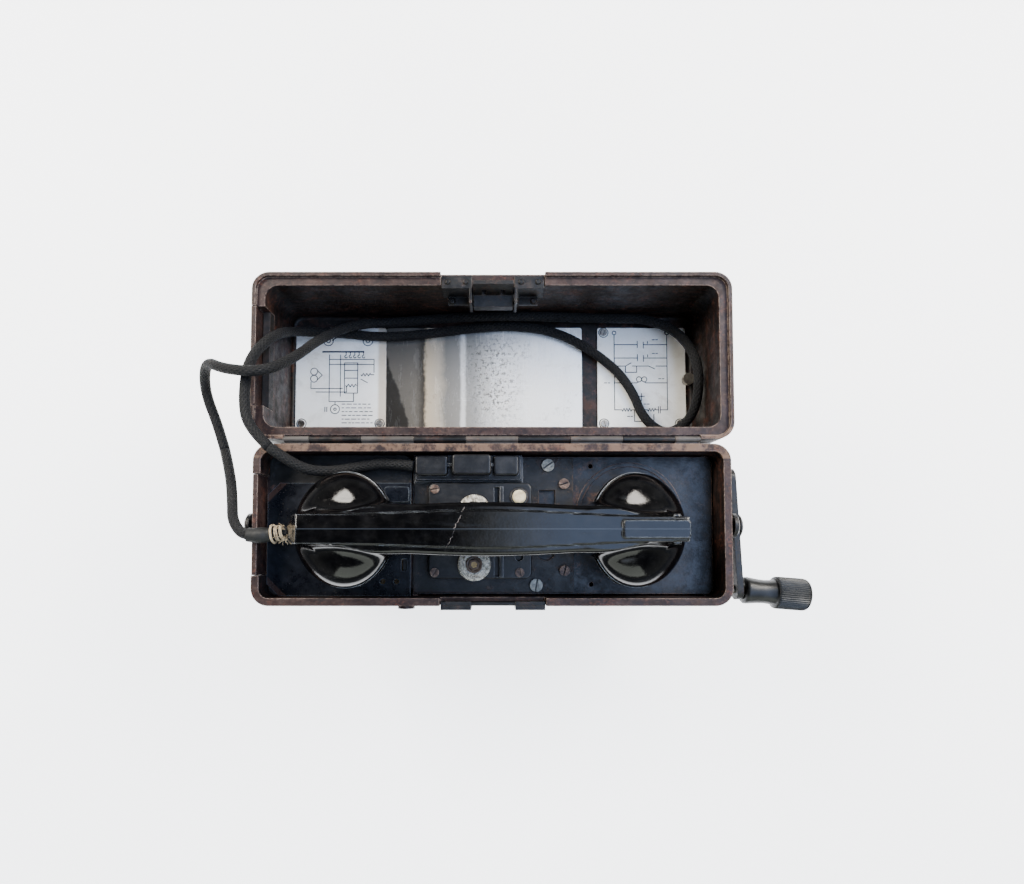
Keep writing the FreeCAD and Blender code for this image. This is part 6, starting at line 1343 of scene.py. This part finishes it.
def right_diagram():
    lines = [[(11.2, 4.6), (11.2, 55), (16, 55)], [(46.2, 4.6), (46.2, 55), (42.4, 55)]]
    lines += [circle(11.2, 3.4, 1.2), circle(46.2, 3.4, 1.2)]
    for v in (11.3, 20.3):
        lines += [[(11.2, v), (26.6, v)], [(30.6, v), (46.2, v)]]
        for u, above, below in ((26.6, 2.4, 2.0), (30.6, 1.8, 2.4), (33.4, 2.2, -0.8)):
            lines.append([(u, v - above), (u, v + below)])
    lines += [[(11.2, 25.7), (18.6, 25.7), (22.4, 23.6)]]
    lines += [[(23.2, 25.7), (34, 25.7), (38, 27.6)], [(38.8, 25.7), (46.2, 25.7)]]
    lines += [[(18.6, 25.7), (18.6, 29.9), (26, 29.9), (26, 25.7)]]
    lines += [[(11.2, 37), (26, 37)], [(32, 37), (46.2, 37)], circle(27.5, 34.6, 1.7), circle(31, 34.6, 1.7)]
    lines += [[(26, 37), (27.5, 36.3)], [(32, 37), (31, 36.3)]]
    lines += [zigzag(16, 55, 6.4, 1.0, 7), [(22.4, 55), (33, 55)]]
    lines += [zigzag(33, 55, 5.4, 1.0, 6), [(38.4, 55), (40.2, 55)]]
    lines += [[(40.2, 52.8), (40.2, 57.2)], [(41.4, 52.8), (41.4, 57.2)], [(41.4, 55), (42.4, 55)]]
    lines += [[(24.3, 55), (24.3, 62.7), (37.1, 62.7), (37.1, 58)]]
    lines += [[(29, 44), (29, 49)], [(27, 46), (31, 46)]]
    dashes = [(4.5, 25.7), (4.5, 37), (36.5, 8.0), (36.5, 17.2)]
    for u, v in dashes + [(40.5, 34.2), (19.5, 59.4), (30.5, 51.2)]:
        lines += [[(u, v), (u + 1.6, v)], [(u + 2.4, v), (u + 3.6, v)]]
    return lines


def add_diagram(name, plate, lines, screws):
    """Raised ink strips on a plate, with a fine ring round each of its screws."""
    low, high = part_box(plate)
    left, back, top = low[0] / MM, high[1] / MM, high[2] / MM
    lines = lines + [circle(x - left, back - y, 3.1, steps=28) for x, y in screws]
    bm = bmesh.new()
    half, rise = 0.27, 0.1
    for line in lines:
        for (u0, v0), (u1, v1) in zip(line, line[1:]):
            a, b = Vector((left + u0, back - v0, 0)), Vector((left + u1, back - v1, 0))
            along = (b - a).normalized() * half
            side = Vector((-along.y, along.x, 0))
            a, b = a - along * 0.6, b + along * 0.6
            ring = [a - side, b - side, b + side, a + side]
            foot = [bm.verts.new(mm(p.x, p.y, top - 0.02)) for p in ring]
            head = [bm.verts.new(mm(p.x, p.y, top + rise)) for p in ring]
            bm.faces.new(head)
            bm.faces.new(foot[::-1])
            for k in range(4):
                bm.faces.new((foot[k], foot[(k + 1) % 4], head[(k + 1) % 4], head[k]))
    mesh = bpy.data.meshes.new(name)
    bm.to_mesh(mesh)
    bm.free()
    ink = wear(linked(name, mesh), "ink")
    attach(ink, "lid")


LEFT_SCREWS = [(-126.1, 68), (-74.4, 68)]
RIGHT_SCREWS = [(74.1, 129), (74.1, 68), (124.3, 68)]

add_diagram("diagram_left", "diagram_plate_left", left_diagram(), LEFT_SCREWS)
add_diagram("diagram_right", "diagram_plate_right", right_diagram(), RIGHT_SCREWS)


# Light, and the floor that the telephone stands on
def area_light(name, place, target, size, power, colour):
    lamp = bpy.data.lights.new(name, "AREA")
    lamp.shape = "RECTANGLE"
    lamp.size, lamp.size_y = size
    lamp.energy = power
    lamp.color = colour
    thing = linked(name, lamp)
    thing.location = place
    thing.rotation_euler = (Vector(target) - Vector(place)).to_track_quat("-Z", "Y").to_euler()


def add_world():
    """A dark ceiling with a broad cool glow to the right, and a pale horizon."""
    world = bpy.data.worlds.new("studio")
    bpy.context.scene.world = world
    g = Graph("studio", world)
    up = g.axis("Z")
    haze = g.ramp(up, 0.02, 0.45, 1, 0)
    glow = g.product(g.ramp(g.axis("X"), -0.02, 0.17), g.ramp(up, 0.56, 0.82))
    colour = g.mix(glow, (0.95, 0.98, 0.94), (0.46, 0.61, 0.95))
    strength = g.sum(0.015, g.product(haze, 0.22), g.product(glow, 4.8))
    background = g.fed("ShaderNodeBackground", {"Color": colour, "Strength": strength})
    g.fed("ShaderNodeOutputWorld", {"Surface": background.outputs[0]})


def add_studio():
    add_world()
    middle = (0, 0.03, 0.16)
    area_light("window_left", (-0.92, 0.66, 0.90), middle, (0.90, 0.40), 34, (1, 0.95, 0.86))
    area_light("window_right", (0.92, 0.66, 0.90), middle, (0.90, 0.40), 33, (1, 0.95, 0.87))
    area_light("wall_front", (0, -1.25, 0.62), middle, (2.4, 0.7), 13, (0.93, 1, 0.90))
    bm = bmesh.new()
    bmesh.ops.create_grid(bm, x_segments=8, y_segments=8, size=3)
    mesh = bpy.data.meshes.new("floor")
    bm.to_mesh(mesh)
    bm.free()
    floor = linked("floor", mesh)
    g = Graph("look_floor")
    white = g.near((-0.48, 0.50), (-0.37, 0.49), None, soft=0.05)
    colour = g.mix(g.ramp(g.noise(3, 4), 0.3, 0.7), (0.88, 0.88, 0.88), (0.92, 0.92, 0.92))
    colour = g.mix(white, (0.06, 0.06, 0.06), colour)
    normal = g.bump(g.noise(80, 3), 0.0002, 0.2)
    glow = g.product(white, 2.6)
    look = g.finish(colour, 0.8, normal, Emission_Color=(1, 1, 1), Emission_Strength=glow)
    floor.data.materials.append(look)


add_studio()
